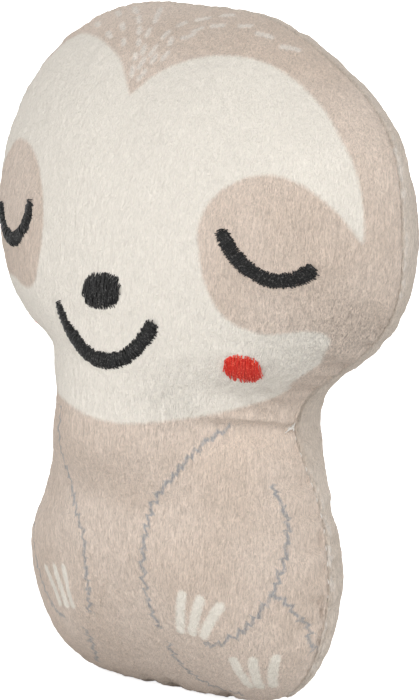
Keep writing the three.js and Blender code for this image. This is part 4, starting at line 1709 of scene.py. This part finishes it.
@dataclass(frozen=True)
class SeamSewing:
    """The machine seam round the bag and the hand stitches that close its opening."""

    shape: BagShape
    seam_y: float
    beige: SpunThread = SpunThread("spun_polyester_thread_beige", "#c4b8ac", "#d4c8bb")
    white: SpunThread = SpunThread("spun_polyester_thread_white", "#e9e7e2", "#fdfaf5")
    opening: tuple[float, float] = (31.0, 71.4)
    points: int = 1100
    inset: float = 0.95
    thread: float = 0.17
    machine_stitch: float = 2.6
    machine_sway: float = 0.14
    machine_dip: float = 0.12
    hand_thread: float = 0.12
    hand_stitch: float = 3.9
    hand_reach: float = 0.45
    hand_uneven: float = 0.15
    hand_dip: float = 0.42
    # The frayed tail at the neck: its root, and how its hairs fan out, curl and thin.
    tuft_place: tuple[float, float] = (-0.1, -0.75)
    tuft_hairs: int = 18
    tuft_length: float = 3.0
    tuft_shortest: float = 0.5
    tuft_side: tuple[float, float] = (-0.2, 0.6)
    tuft_front: float = -0.9
    tuft_rise: tuple[float, float] = (-0.25, 0.35)
    hair_bend: float = 0.6
    hair_steps: int = 5
    hair_radii: tuple[float, float] = (0.2, 0.08)

    def spot(self, row: np.ndarray, inset: float, away: float) -> Vector:
        """A point beside the rim.

        Args:
            row: the outline's row.
            inset: how far inside the outline the point lies.
            away: how far behind the seam plane it lies.

        Returns:
            The point, in metres.
        """
        x, z, out_x, out_z = row[:4]
        low = max(z - inset * out_z - self.shape.floor_cut, self.thread)
        return Vector((x - inset * out_x, self.seam_y + row[7] + away, low)) * MM

    def machine_seam(self) -> bpy.types.Object:
        """The lock stitches, from the neck over the head and under the body.

        Returns:
            The seam's object.
        """
        rim = self.shape.rim(self.points)
        low, high = self.opening
        half = rim[: self.points // 2]
        skipped = np.flatnonzero((half[:, 1] > low) & (half[:, 1] < high))
        path = []
        for row in np.vstack([rim[skipped[-1] + 1 :], rim[: skipped[0]]]):
            turn = row[4] / self.machine_stitch * math.pi
            inset = self.inset + self.machine_dip * math.cos(2 * turn)
            sway = self.machine_sway * math.sin(turn)
            path.append((self.spot(row, inset, sway), self.thread * MM))
        return tube_mesh("machine_seam", [path])

    def closing_stitches(self, dice: random.Random) -> bpy.types.Object:
        """The ladder stitches across the opening, ending in a frayed tail at the neck.

        Args:
            dice: the seeded random source.

        Returns:
            The stitches' object.
        """
        rim = self.shape.rim(self.points)
        low, high = self.opening
        rows = [row for row in rim[: self.points // 2] if low < row[1] < high]
        path = []
        for row in rows:
            turn = (row[4] - rows[0][4]) / self.hand_stitch * math.pi
            away = self.hand_reach * math.sin(turn) * (1 - self.hand_uneven * math.sin(3 * turn))
            inset = self.inset - self.hand_dip * math.cos(2 * turn)
            path.append((self.spot(row, inset, away), self.hand_thread * MM))
        root = self.spot(rows[-1], *self.tuft_place)
        path.append((root, self.hand_thread * MM))
        hairs = [self.hair(root, dice) for _ in range(self.tuft_hairs)]
        return tube_mesh("closing_stitches", [path] + hairs)

    def hair(self, root: Vector, dice: random.Random) -> Thread:
        """One frayed fibre of the thread's tail.

        Args:
            root: where it starts, in metres.
            dice: the seeded random source.

        Returns:
            Its points with its radius.
        """
        side, rise = dice.uniform(*self.tuft_side), dice.uniform(*self.tuft_rise)
        out = Vector((side, self.tuft_front, rise)).normalized()
        length = self.tuft_length * dice.uniform(self.tuft_shortest, 1.0)
        bend = Vector([dice.uniform(-self.hair_bend, self.hair_bend) for _ in range(3)])
        path = []
        for step in range(self.hair_steps + 1):
            share = step / self.hair_steps
            place = root + (out * share + bend * share**2 / 2) * length * MM
            path.append((place, mix(*self.hair_radii, share) * MM))
        return path

    def build(self, dice: random.Random) -> None:
        """Sews the seam and closes the opening.

        Args:
            dice: the seeded random source.
        """
        seam = self.machine_seam()
        seam.data.materials.append(self.beige.material())
        declare(seam, ["seam_thread"])
        closing = self.closing_stitches(dice)
        closing.data.materials.append(self.white.material())
        declare(closing, ["closing_thread"])


@dataclass(frozen=True)
class FibreWad:
    """One of the two wads of fibre that fill the bag."""

    shape: BagShape
    seam_y: float
    columns: int = 200
    rings: int = 24
    inset: float = 3.2
    offset: float = 2.0
    notch: float = 5.8
    # Lumps of fibre: how much they sink the wad on average and how far they vary.
    lump_sink: float = 0.5
    lump: float = 0.9
    lump_size: float = 7.0
    clear: float = 0.4

    def rows(self, gathers: Gathers) -> np.ndarray:
        """Rows of points of the whole filling, notched all round for the seam allowances.

        Args:
            gathers: how far the fabric lies from its plain shape.

        Returns:
            Rows by columns by x, y, z in millimetres, in the CAD's frame.
        """
        rim = self.shape.rim(self.columns)
        turn = np.linspace(0, QUARTER_TURN, self.rings + 1)
        front = self.shape.skin(Panel.FRONT, rim, np.sin(turn), self.inset, self.offset)
        back = self.shape.skin(Panel.BACK, rim, np.sin(turn), self.inset, self.offset)
        front += gathers.over(Panel.FRONT, turn, self.columns)
        back += gathers.over(Panel.BACK, turn, self.columns)
        x, z, out_x, out_z = rim[:, :4].T
        notches = [
            np.stack([x - self.notch * out_x, rim[:, 7] + away, z - self.notch * out_z], axis=-1)
            for away in (-self.offset, self.offset)
        ]
        every = np.concatenate([front, np.array(notches), back[::-1]])
        every[..., 1] += self.seam_y
        every[..., 2] -= self.shape.floor_cut
        return every

    def build(self, name: str, gathers: Gathers, above: bool) -> bpy.types.Object:
        """Cuts the filling at the neck and makes one wad.

        Args:
            name: the piece's name.
            gathers: how far the fabric lies from its plain shape.
            above: whether the wad is the head's.

        Returns:
            The wad's object.
        """
        body = wrap_grid(self.rows(gathers))
        level = self.shape.neck_level - self.shape.floor_cut + (self.clear if above else -self.clear)
        parts = body.verts[:] + body.edges[:] + body.faces[:]
        bmesh.ops.bisect_plane(
            body,
            geom=parts,
            plane_co=(0, 0, level * MM),
            plane_no=(0, 0, -1 if above else 1),
            clear_outer=True,
        )
        bmesh.ops.holes_fill(body, edges=[e for e in body.edges if e.is_boundary], sides=0)
        bmesh.ops.recalc_face_normals(body, faces=body.faces)
        body.normal_update()
        size = self.lump_size * MM
        for vertex in body.verts:
            lump = self.lump_sink + noise.noise(vertex.co / size)
            if abs(vertex.co.z - level * MM) > MM:
                vertex.co -= vertex.normal * lump * self.lump * MM
        return finished(name, body)


@dataclass(frozen=True)
class FaceBacking:
    """Nonwoven sheet behind the embroidery, cut to an oval."""

    centre: Place = (0.0, 102.0)
    half_size: tuple[float, float] = (53.8, 25.0)
    segments: tuple[int, int] = (64, 32)
    below: float = 2.2
    thickness: float = 0.25

    def build(self, cover: Cover) -> tuple[bpy.types.Object, tuple[float, float], float]:
        """Lays the sheet against the inside of the front panel.

        Args:
            cover: the front panel.

        Returns:
            The sheet's object, the width and height it was cut to and its flat area, in metres.
        """
        sheet = bmesh.new()
        wide, high = self.segments
        bmesh.ops.create_grid(sheet, x_segments=wide, y_segments=high, size=1)
        for vertex in sheet.verts:
            u, v = vertex.co.x, vertex.co.y
            across = self.centre[0] + self.half_size[0] * u * math.sqrt(1 - v * v / 2)
            up = self.centre[1] + self.half_size[1] * v * math.sqrt(1 - u * u / 2)
            vertex.co = cover.on_skin((across, up), -self.below)[0]
        area = sum(face.calc_area() for face in sheet.faces)
        ends = ((-self.half_size[0], self.centre[1]), (self.half_size[0], self.centre[1]))
        spots = [cover.on_skin(tuple(p), -self.below)[0] for p in spline(ends)]
        width = sum((b - a).length for a, b in zip(spots, spots[1:]))
        # An oval's area is its width times its height times a quarter of pi.
        height = area / (math.pi / 4) / width
        bmesh.ops.recalc_face_normals(sheet, faces=sheet.faces)
        bmesh.ops.solidify(sheet, geom=sheet.faces[:], thickness=self.thickness * MM)
        bmesh.ops.recalc_face_normals(sheet, faces=sheet.faces)
        return finished("face_backing_sheet", sheet), (width, height), area


@dataclass(frozen=True)
class Studio:
    """Plain white studio with soft lamps, seen by the photograph's camera."""

    # The camera, as fitted to the photograph's outline.
    azimuth: float = 40.448
    elevation: float = 9.974
    roll: float = 2.898
    distance: float = 1366.45
    target: tuple[float, float] = (0.0, 85.0)
    pixels_per_radian: float = 5581.39
    centre_shift: tuple[float, float] = (-15.775, -2.256)
    sensor: float = 36.0
    clip: tuple[float, float] = (0.05, 50.0)
    # What the surroundings give as light, and their tint.
    ambient: float = 0.19
    warmth: tuple[float, float, float, float] = (1.0, 0.972, 0.93, 1.0)
    floor_size: float = 6.0
    floor_colour: str = "#e7e7e7"
    floor_glow: float = 0.85
    # Each lamp's name, azimuth, elevation and power. All are as far off and as large.
    lamps: tuple[tuple[str, float, float, float], ...] = (
        ("key_lamp", 38.0, 40.0, 13.6),
        ("front_lamp", -20.0, 15.0, 8.5),
        ("low_lamp", 38.0, 4.0, 4.1),
        ("side_lamp", 130.0, 15.0, 8.9),
        ("back_lamp", 215.0, 30.0, 15.0),
    )
    lamp_distance: float = 1.6
    lamp_size: float = 0.9
    lamp_aim: float = 0.085

    @staticmethod
    def towards(azimuth: float, elevation: float) -> Vector:
        """Direction from the toy to a place, by its azimuth from the front and its elevation."""
        a, e = math.radians(azimuth), math.radians(elevation)
        return Vector((math.sin(a) * math.cos(e), -math.cos(a) * math.cos(e), math.sin(e)))

    def camera(self, seam_y: float) -> None:
        """Places the camera.

        Args:
            seam_y: where the seam plane lies in y.
        """
        a, r = math.radians(self.azimuth), math.radians(self.roll)
        back = self.towards(self.azimuth, self.elevation)
        right = Vector((math.cos(a), math.sin(a), 0))
        up = back.cross(right)
        right, up = right * math.cos(r) + up * math.sin(r), up * math.cos(r) - right * math.sin(r)
        data = bpy.data.cameras.new("camera")
        data.sensor_width = self.sensor
        data.lens = self.pixels_per_radian * self.sensor / max(IMAGE_SIZE)
        data.shift_x = -self.centre_shift[0] / max(IMAGE_SIZE)
        data.shift_y = self.centre_shift[1] / max(IMAGE_SIZE)
        data.clip_start, data.clip_end = self.clip
        camera = bpy.data.objects.new("camera", data)
        target = Vector((self.target[0] * MM, seam_y * MM, self.target[1] * MM))
        turn = Matrix((right, up, back)).transposed().to_4x4()
        camera.matrix_world = Matrix.Translation(target + back * self.distance * MM) @ turn
        bpy.context.scene.collection.objects.link(camera)
        bpy.context.scene.camera = camera

    def lamp(self, name: str, azimuth: float, elevation: float, power: float) -> None:
        """Adds one soft square lamp that faces the toy.

        Args:
            name: the lamp's name.
            azimuth: its azimuth from the front, in degrees.
            elevation: its elevation, in degrees.
            power: its power in watts.
        """
        data = bpy.data.lights.new(name, "AREA")
        data.size = self.lamp_size
        data.energy = power
        away = self.towards(azimuth, elevation)
        lamp = bpy.data.objects.new(name, data)
        lamp.location = Vector((0, 0, self.lamp_aim)) + away * self.lamp_distance
        lamp.rotation_euler = (-away).to_track_quat("-Z", "Y").to_euler()
        bpy.context.scene.collection.objects.link(lamp)

    @staticmethod
    def seen(tree: bpy.types.NodeTree) -> Socket:
        """Factor of the rays that see a surface: directly, through another or mirrored.

        Args:
            tree: the material's or the world's nodes.

        Returns:
            The factor, one for these rays.
        """
        rays = add_node(tree, "LightPath").outputs
        direct = {0: rays["Is Camera Ray"], 1: rays["Is Transmission Ray"]}
        through = add_node(tree, "Math", direct, operation="MAXIMUM").outputs[0]
        every = {0: through, 1: rays["Is Glossy Ray"]}
        return add_node(tree, "Math", every, operation="MAXIMUM").outputs[0]

    def world(self) -> None:
        """White surroundings: plain for what looks at them, dimmer as light."""
        world = bpy.data.worlds.new("studio")
        world.use_nodes = True
        tree = world.node_tree
        tree.nodes.clear()
        seen = self.seen(tree)
        strength = add_node(tree, "MapRange", {0: seen, 3: self.ambient, 4: 1.0})
        tint = add_node(tree, "Mix", {0: seen, 6: self.warmth, 7: WHITE}, data_type="RGBA")
        shader = add_node(tree, "Background", {0: tint.outputs[2], 1: strength.outputs[0]})
        output = add_node(tree, "OutputWorld")
        tree.links.new(shader.outputs[0], output.inputs[0])
        bpy.context.scene.world = world

    def floor(self) -> None:
        """A white floor that keeps the toy's shadow."""
        sheet = bmesh.new()
        bmesh.ops.create_grid(sheet, x_segments=1, y_segments=1, size=self.floor_size / 2)
        piece = finished("floor", sheet, smooth=False)
        material, tree, output = new_material("painted_white_floor")
        plain = add_node(tree, "BsdfDiffuse", {0: linear(self.floor_colour)}).outputs[0]
        glow = add_node(tree, "Emission", {0: WHITE, 1: self.floor_glow}).outputs[0]
        lit = add_node(tree, "AddShader", {0: plain, 1: glow}).outputs[0]
        shader = add_node(tree, "MixShader", {0: self.seen(tree), 1: plain, 2: lit})
        tree.links.new(shader.outputs[0], output.inputs[0])
        piece.data.materials.append(material)

    def build(self, seam_y: float) -> None:
        """Sets the camera, floor, lamps and surroundings.

        Args:
            seam_y: where the seam plane lies in y.
        """
        self.camera(seam_y)
        self.floor()
        for lamp in self.lamps:
            self.lamp(*lamp)
        self.world()
        bpy.context.scene.view_settings.view_transform = "Standard"


@dataclass
class StuffedBag:
    """The two covers, the filling and the backing of the face."""

    shape: BagShape
    seam_y: float
    simulation: BagSimulation
    front: Cover
    back: Cover
    patches: Sequence[SatinPatch]
    # How deep the embroidery draws the fabric in, and over what distance it fades.
    dent: float = 0.32
    dent_start: float = -0.4
    dent_spread: float = 2.6
    # The pale flecks show beside the seam up to the first of these levels and between the other two.
    fleck_levels: tuple[float, float, float] = (66.0, 100.0, 152.0)
    fleck_fade: float = 8.0
    seam_samples: int = 900
    # Where too little filling leaves the front sunk: x, z, half width, half height and depth.
    hollows: tuple[tuple[float, ...], ...] = (
        (-36.0, 85.0, 14.0, 4.4, 2.3),
        (34.0, 75.0, 8.0, 5.0, 1.5),
    )
    # Which way a hollow sinks in x and y, and how it fades towards the seam.
    sink_way: tuple[float, float] = (0.77, 0.64)
    sink_fade: float = 0.3
    # Soft folds at the neck: a line, its depth and its spread.
    creases: tuple[tuple[tuple[Place, ...], float, float], ...] = (
        (((22.5, 75.0), (26.0, 74.3), (30.0, 73.7), (33.5, 72.4), (36.5, 70.4)), 1.0, 1.3),
        (((20.0, 76.6), (26.0, 76.2), (33.0, 75.0), (38.0, 73.6)), 1.5, 3.2),
        (((31.5, 82.0), (32.5, 77.5), (33.5, 72.5)), 0.5, 1.2),
        (((36.5, 83.5), (35.5, 78.0), (34.2, 73.0)), 0.5, 1.1),
        (((27.0, 67.0), (31.0, 66.0), (36.0, 63.0)), 0.4, 1.7),
    )
    crease_round: float = 0.7
    printed: PrintedPile = PrintedPile("printed_polyester_velboa", "#dacabd", "#d2c1b3")
    plain: PlainPile = PlainPile("plain_polyester_velboa", "#d6cabe", "#cfc2b5")
    fibre: PolyesterFill = PolyesterFill("crimped_polyester_fibre", "#dcd9d2", "#f3f1ec")
    web: PolyesterFill = PolyesterFill(
        "nonwoven_polyester_web", "#dfdfda", "#efefeb", grain=(0.25, 0.25, 1.667), bump=0.05
    )

    def sunk_places(self) -> np.ndarray:
        """Movements of the front panel where too little filling leaves it sunk.

        Returns:
            How far each of the simulation's points moves, in millimetres.
        """
        start = self.simulation.start()
        rings = self.simulation.rings
        moved = np.zeros_like(start)
        to_seam = ease(np.abs(np.arange(len(start)) - rings) / rings, 0.0, self.sink_fade)
        to_seam[rings:] = 0
        side, back = self.sink_way
        for x, z, wide, high, depth in self.hollows:
            away = np.hypot((start[..., 0] - x) / wide, (start[..., 2] - z) / high)
            inwards = np.array([-math.copysign(side, x), back, 0.0]) * depth
            moved += (np.exp(-(away**2)) * to_seam[:, None])[..., None] * inwards
        return moved

    def creased(self, flat: np.ndarray) -> np.ndarray:
        """How deep the soft folds of the neck are.

        Args:
            flat: the front skin's points in millimetres, with their y at zero.

        Returns:
            The depth at each point.
        """
        deep = np.zeros(len(flat))
        for places, depth, spread in self.creases:
            drawn = PathField.on_view(places)
            distance, run, _ = drawn.read(flat)
            share = np.clip(run / (len(drawn.line) - 1), 0, 1)
            taper = np.sin(share * math.pi) ** self.crease_round
            deep += depth * taper * np.exp(-((distance / spread) ** 2))
        return deep

    def drawn_in(self, points: np.ndarray) -> np.ndarray:
        """How deep the embroidery and the folds draw the fabric in.

        Args:
            points: rows of the front skin's points in millimetres.

        Returns:
            The depth at each point.
        """
        flat = points.reshape(-1, 3) * [1, 0, 1]
        deep = np.zeros(len(flat))
        for patch in self.patches:
            distance, _, _ = PathField.on_view(patch.centre_line).read(flat)
            beyond = ease(distance - patch.width / 2, self.dent_start, self.dent_spread)
            deep = np.maximum(deep, self.dent * (1 - beyond))
        return (deep + self.creased(flat)).reshape(points.shape[:2])

    def build(self, artwork: PrintedArtwork) -> None:
        """Makes and dresses the covers and what lies inside them.

        Args:
            artwork: what is printed on the front panel.
        """
        gathers = Gathers(self.simulation.run() + self.sunk_places(), self.simulation.rings)
        front = self.front.build("front_cover", gathers, self.drawn_in)
        artwork.write(front, self.front)
        front.data.materials.append(self.printed.material())
        declare(front, ["front_panel"])

        back = self.back.build("back_cover", gathers)
        self.store_seam_gap(back)
        back.data.materials.append(self.plain.material())
        declare(back, ["back_panel"])

        wad = FibreWad(self.shape, self.seam_y)
        white = self.fibre.material()
        for name, node, above in (
            ("head_wad", "head_filling", True),
            ("body_wad", "body_filling", False),
        ):
            piece = wad.build(name, gathers, above)
            piece.data.materials.append(white)
            declare(piece, [node])

        sheet, flat, area = FaceBacking().build(self.front)
        sheet.data.materials.append(self.web.material())
        declare(sheet, ["face_backing"])

    def store_seam_gap(self, piece: bpy.types.Object) -> None:
        """Stores each vertex's distance from the seam, which the pale flecks follow.

        Args:
            piece: the back panel's object.
        """
        rows = self.shape.rim(self.seam_samples)
        tree = KDTree(len(rows))
        for index, row in enumerate(rows):
            tree.insert((row[0], self.seam_y + row[7], row[1] - self.shape.floor_cut), index)
        tree.balance()
        gaps = np.array([tree.find(vertex.co / MM)[2] for vertex in piece.data.vertices])
        levels = np.array([vertex.co.z / MM for vertex in piece.data.vertices])
        body_top, head_low, head_top = self.fleck_levels
        clean = ease(levels, body_top - self.fleck_fade, body_top)
        clean -= ease(levels, head_low, head_low + self.fleck_fade)
        clean += ease(levels, head_top - self.fleck_fade, head_top)
        PrintedArtwork.store(piece, "seam_gap", gaps + self.plain.fleck_reach[1] * clean)


@dataclass(frozen=True)
class EmbroideredFace:
    """The closed eyes, smile, nose and cheeks, stitched on the front panel."""

    # Each thread's second colour is a painted glint, which shows in sparse specks.
    black: EmbroideryThread = EmbroideryThread("rayon_thread_black", "#030303", "#646361")
    jet: EmbroideryThread = EmbroideryThread("rayon_thread_jet", "#020202", "#5e5d5c")
    red: EmbroideryThread = EmbroideryThread("rayon_thread_red", "#d02a1e", "#ff8468")
    left_eye: tuple[Place, ...] = (
        (31.0, 121.0), (32.2, 118.8), (33.6, 116.7), (35.4, 114.4), (37.6, 112.4), (39.9, 111.0),
        (42.2, 110.0), (44.7, 110.0), (47.2, 110.7), (49.2, 112.1), (50.7, 113.6),
    )
    right_eye: tuple[Place, ...] = (
        (-51.2, 115.2), (-48.0, 112.2), (-43.8, 109.4), (-39.3, 108.6), (-35.4, 110.2),
        (-32.6, 112.8), (-31.2, 116.1), (-31.2, 119.6),
    )
    mouth: tuple[Place, ...] = (
        (-15.1, 97.3), (-13.9, 94.8), (-12.0, 92.3), (-8.9, 89.5), (-5.1, 87.1), (-1.2, 85.8),
        (2.3, 85.7), (6.0, 86.5), (9.0, 88.3), (11.6, 91.0), (13.8, 93.9), (15.6, 96.8),
    )
    nose: tuple[Place, ...] = ((-5.7, 101.6), (5.9, 103.3))
    left_cheek: tuple[Place, ...] = ((30.6, 87.7), (37.5, 86.9))
    right_cheek: tuple[Place, ...] = ((-42.6, 85.5), (-36.1, 86.2))

    def patches(self) -> list[tuple[SatinPatch, EmbroideryThread]]:
        """The face's patches, in the order in which they are stitched.

        Returns:
            Each patch with its thread.
        """
        left_eye = SatinPatch("left_eye", "dark_embroidery", self.left_eye, width=3.9)
        right_eye = SatinPatch("right_eye", "dark_embroidery", self.right_eye, width=3.7)
        mouth = SatinPatch("mouth", "dark_embroidery", self.mouth, width=4.0, taper=10.0)
        nose = SatinPatch("nose", "nose_embroidery", self.nose, width=10.0, oval=True)
        nose = replace(nose, spacing=0.15, slant=0.15, ragged=0.14)
        cheek = SatinPatch("left_cheek", "cheek_embroidery", self.left_cheek, width=8.3, oval=True)
        cheek = replace(cheek, slant=0.18, lean=0.1, ragged=0.2)
        # The right cheek lies flatter, since it would show past the head's edge otherwise.
        mirrored = replace(
            cheek, name="right_cheek", centre_line=self.right_cheek, slant=-cheek.slant, rise=0.3
        )
        return [
            (left_eye, self.black),
            (right_eye, self.black),
            (mouth, self.black),
            (nose, self.jet),
            (cheek, self.red),
            (mirrored, self.red),
        ]


def main() -> None:
    """Builds the toy piece by piece around its frame."""
    logging.basicConfig(level=logging.INFO, format="%(message)s")
    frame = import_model()
    LOG.info("frame: %d nodes", len(frame["nodes"]))
    dice = random.Random(SEED)
    shape = BagShape()
    seam_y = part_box("front_panel")[1].y / MM + shape.panel_gap / 2

    stitched = EmbroideredFace().patches()
    front = Cover(shape, Panel.FRONT, seam_y)
    back = Cover(shape, Panel.BACK, seam_y, columns=600, rings=96)
    patches = [patch for patch, _ in stitched]
    StuffedBag(shape, seam_y, BagSimulation(shape), front, back, patches).build(PrintedArtwork())
    for patch, thread in stitched:
        patch.build(front, thread, dice)
    SeamSewing(shape, seam_y).build(dice)

    Studio().build(seam_y)


if __name__ == "__main__":
    main()
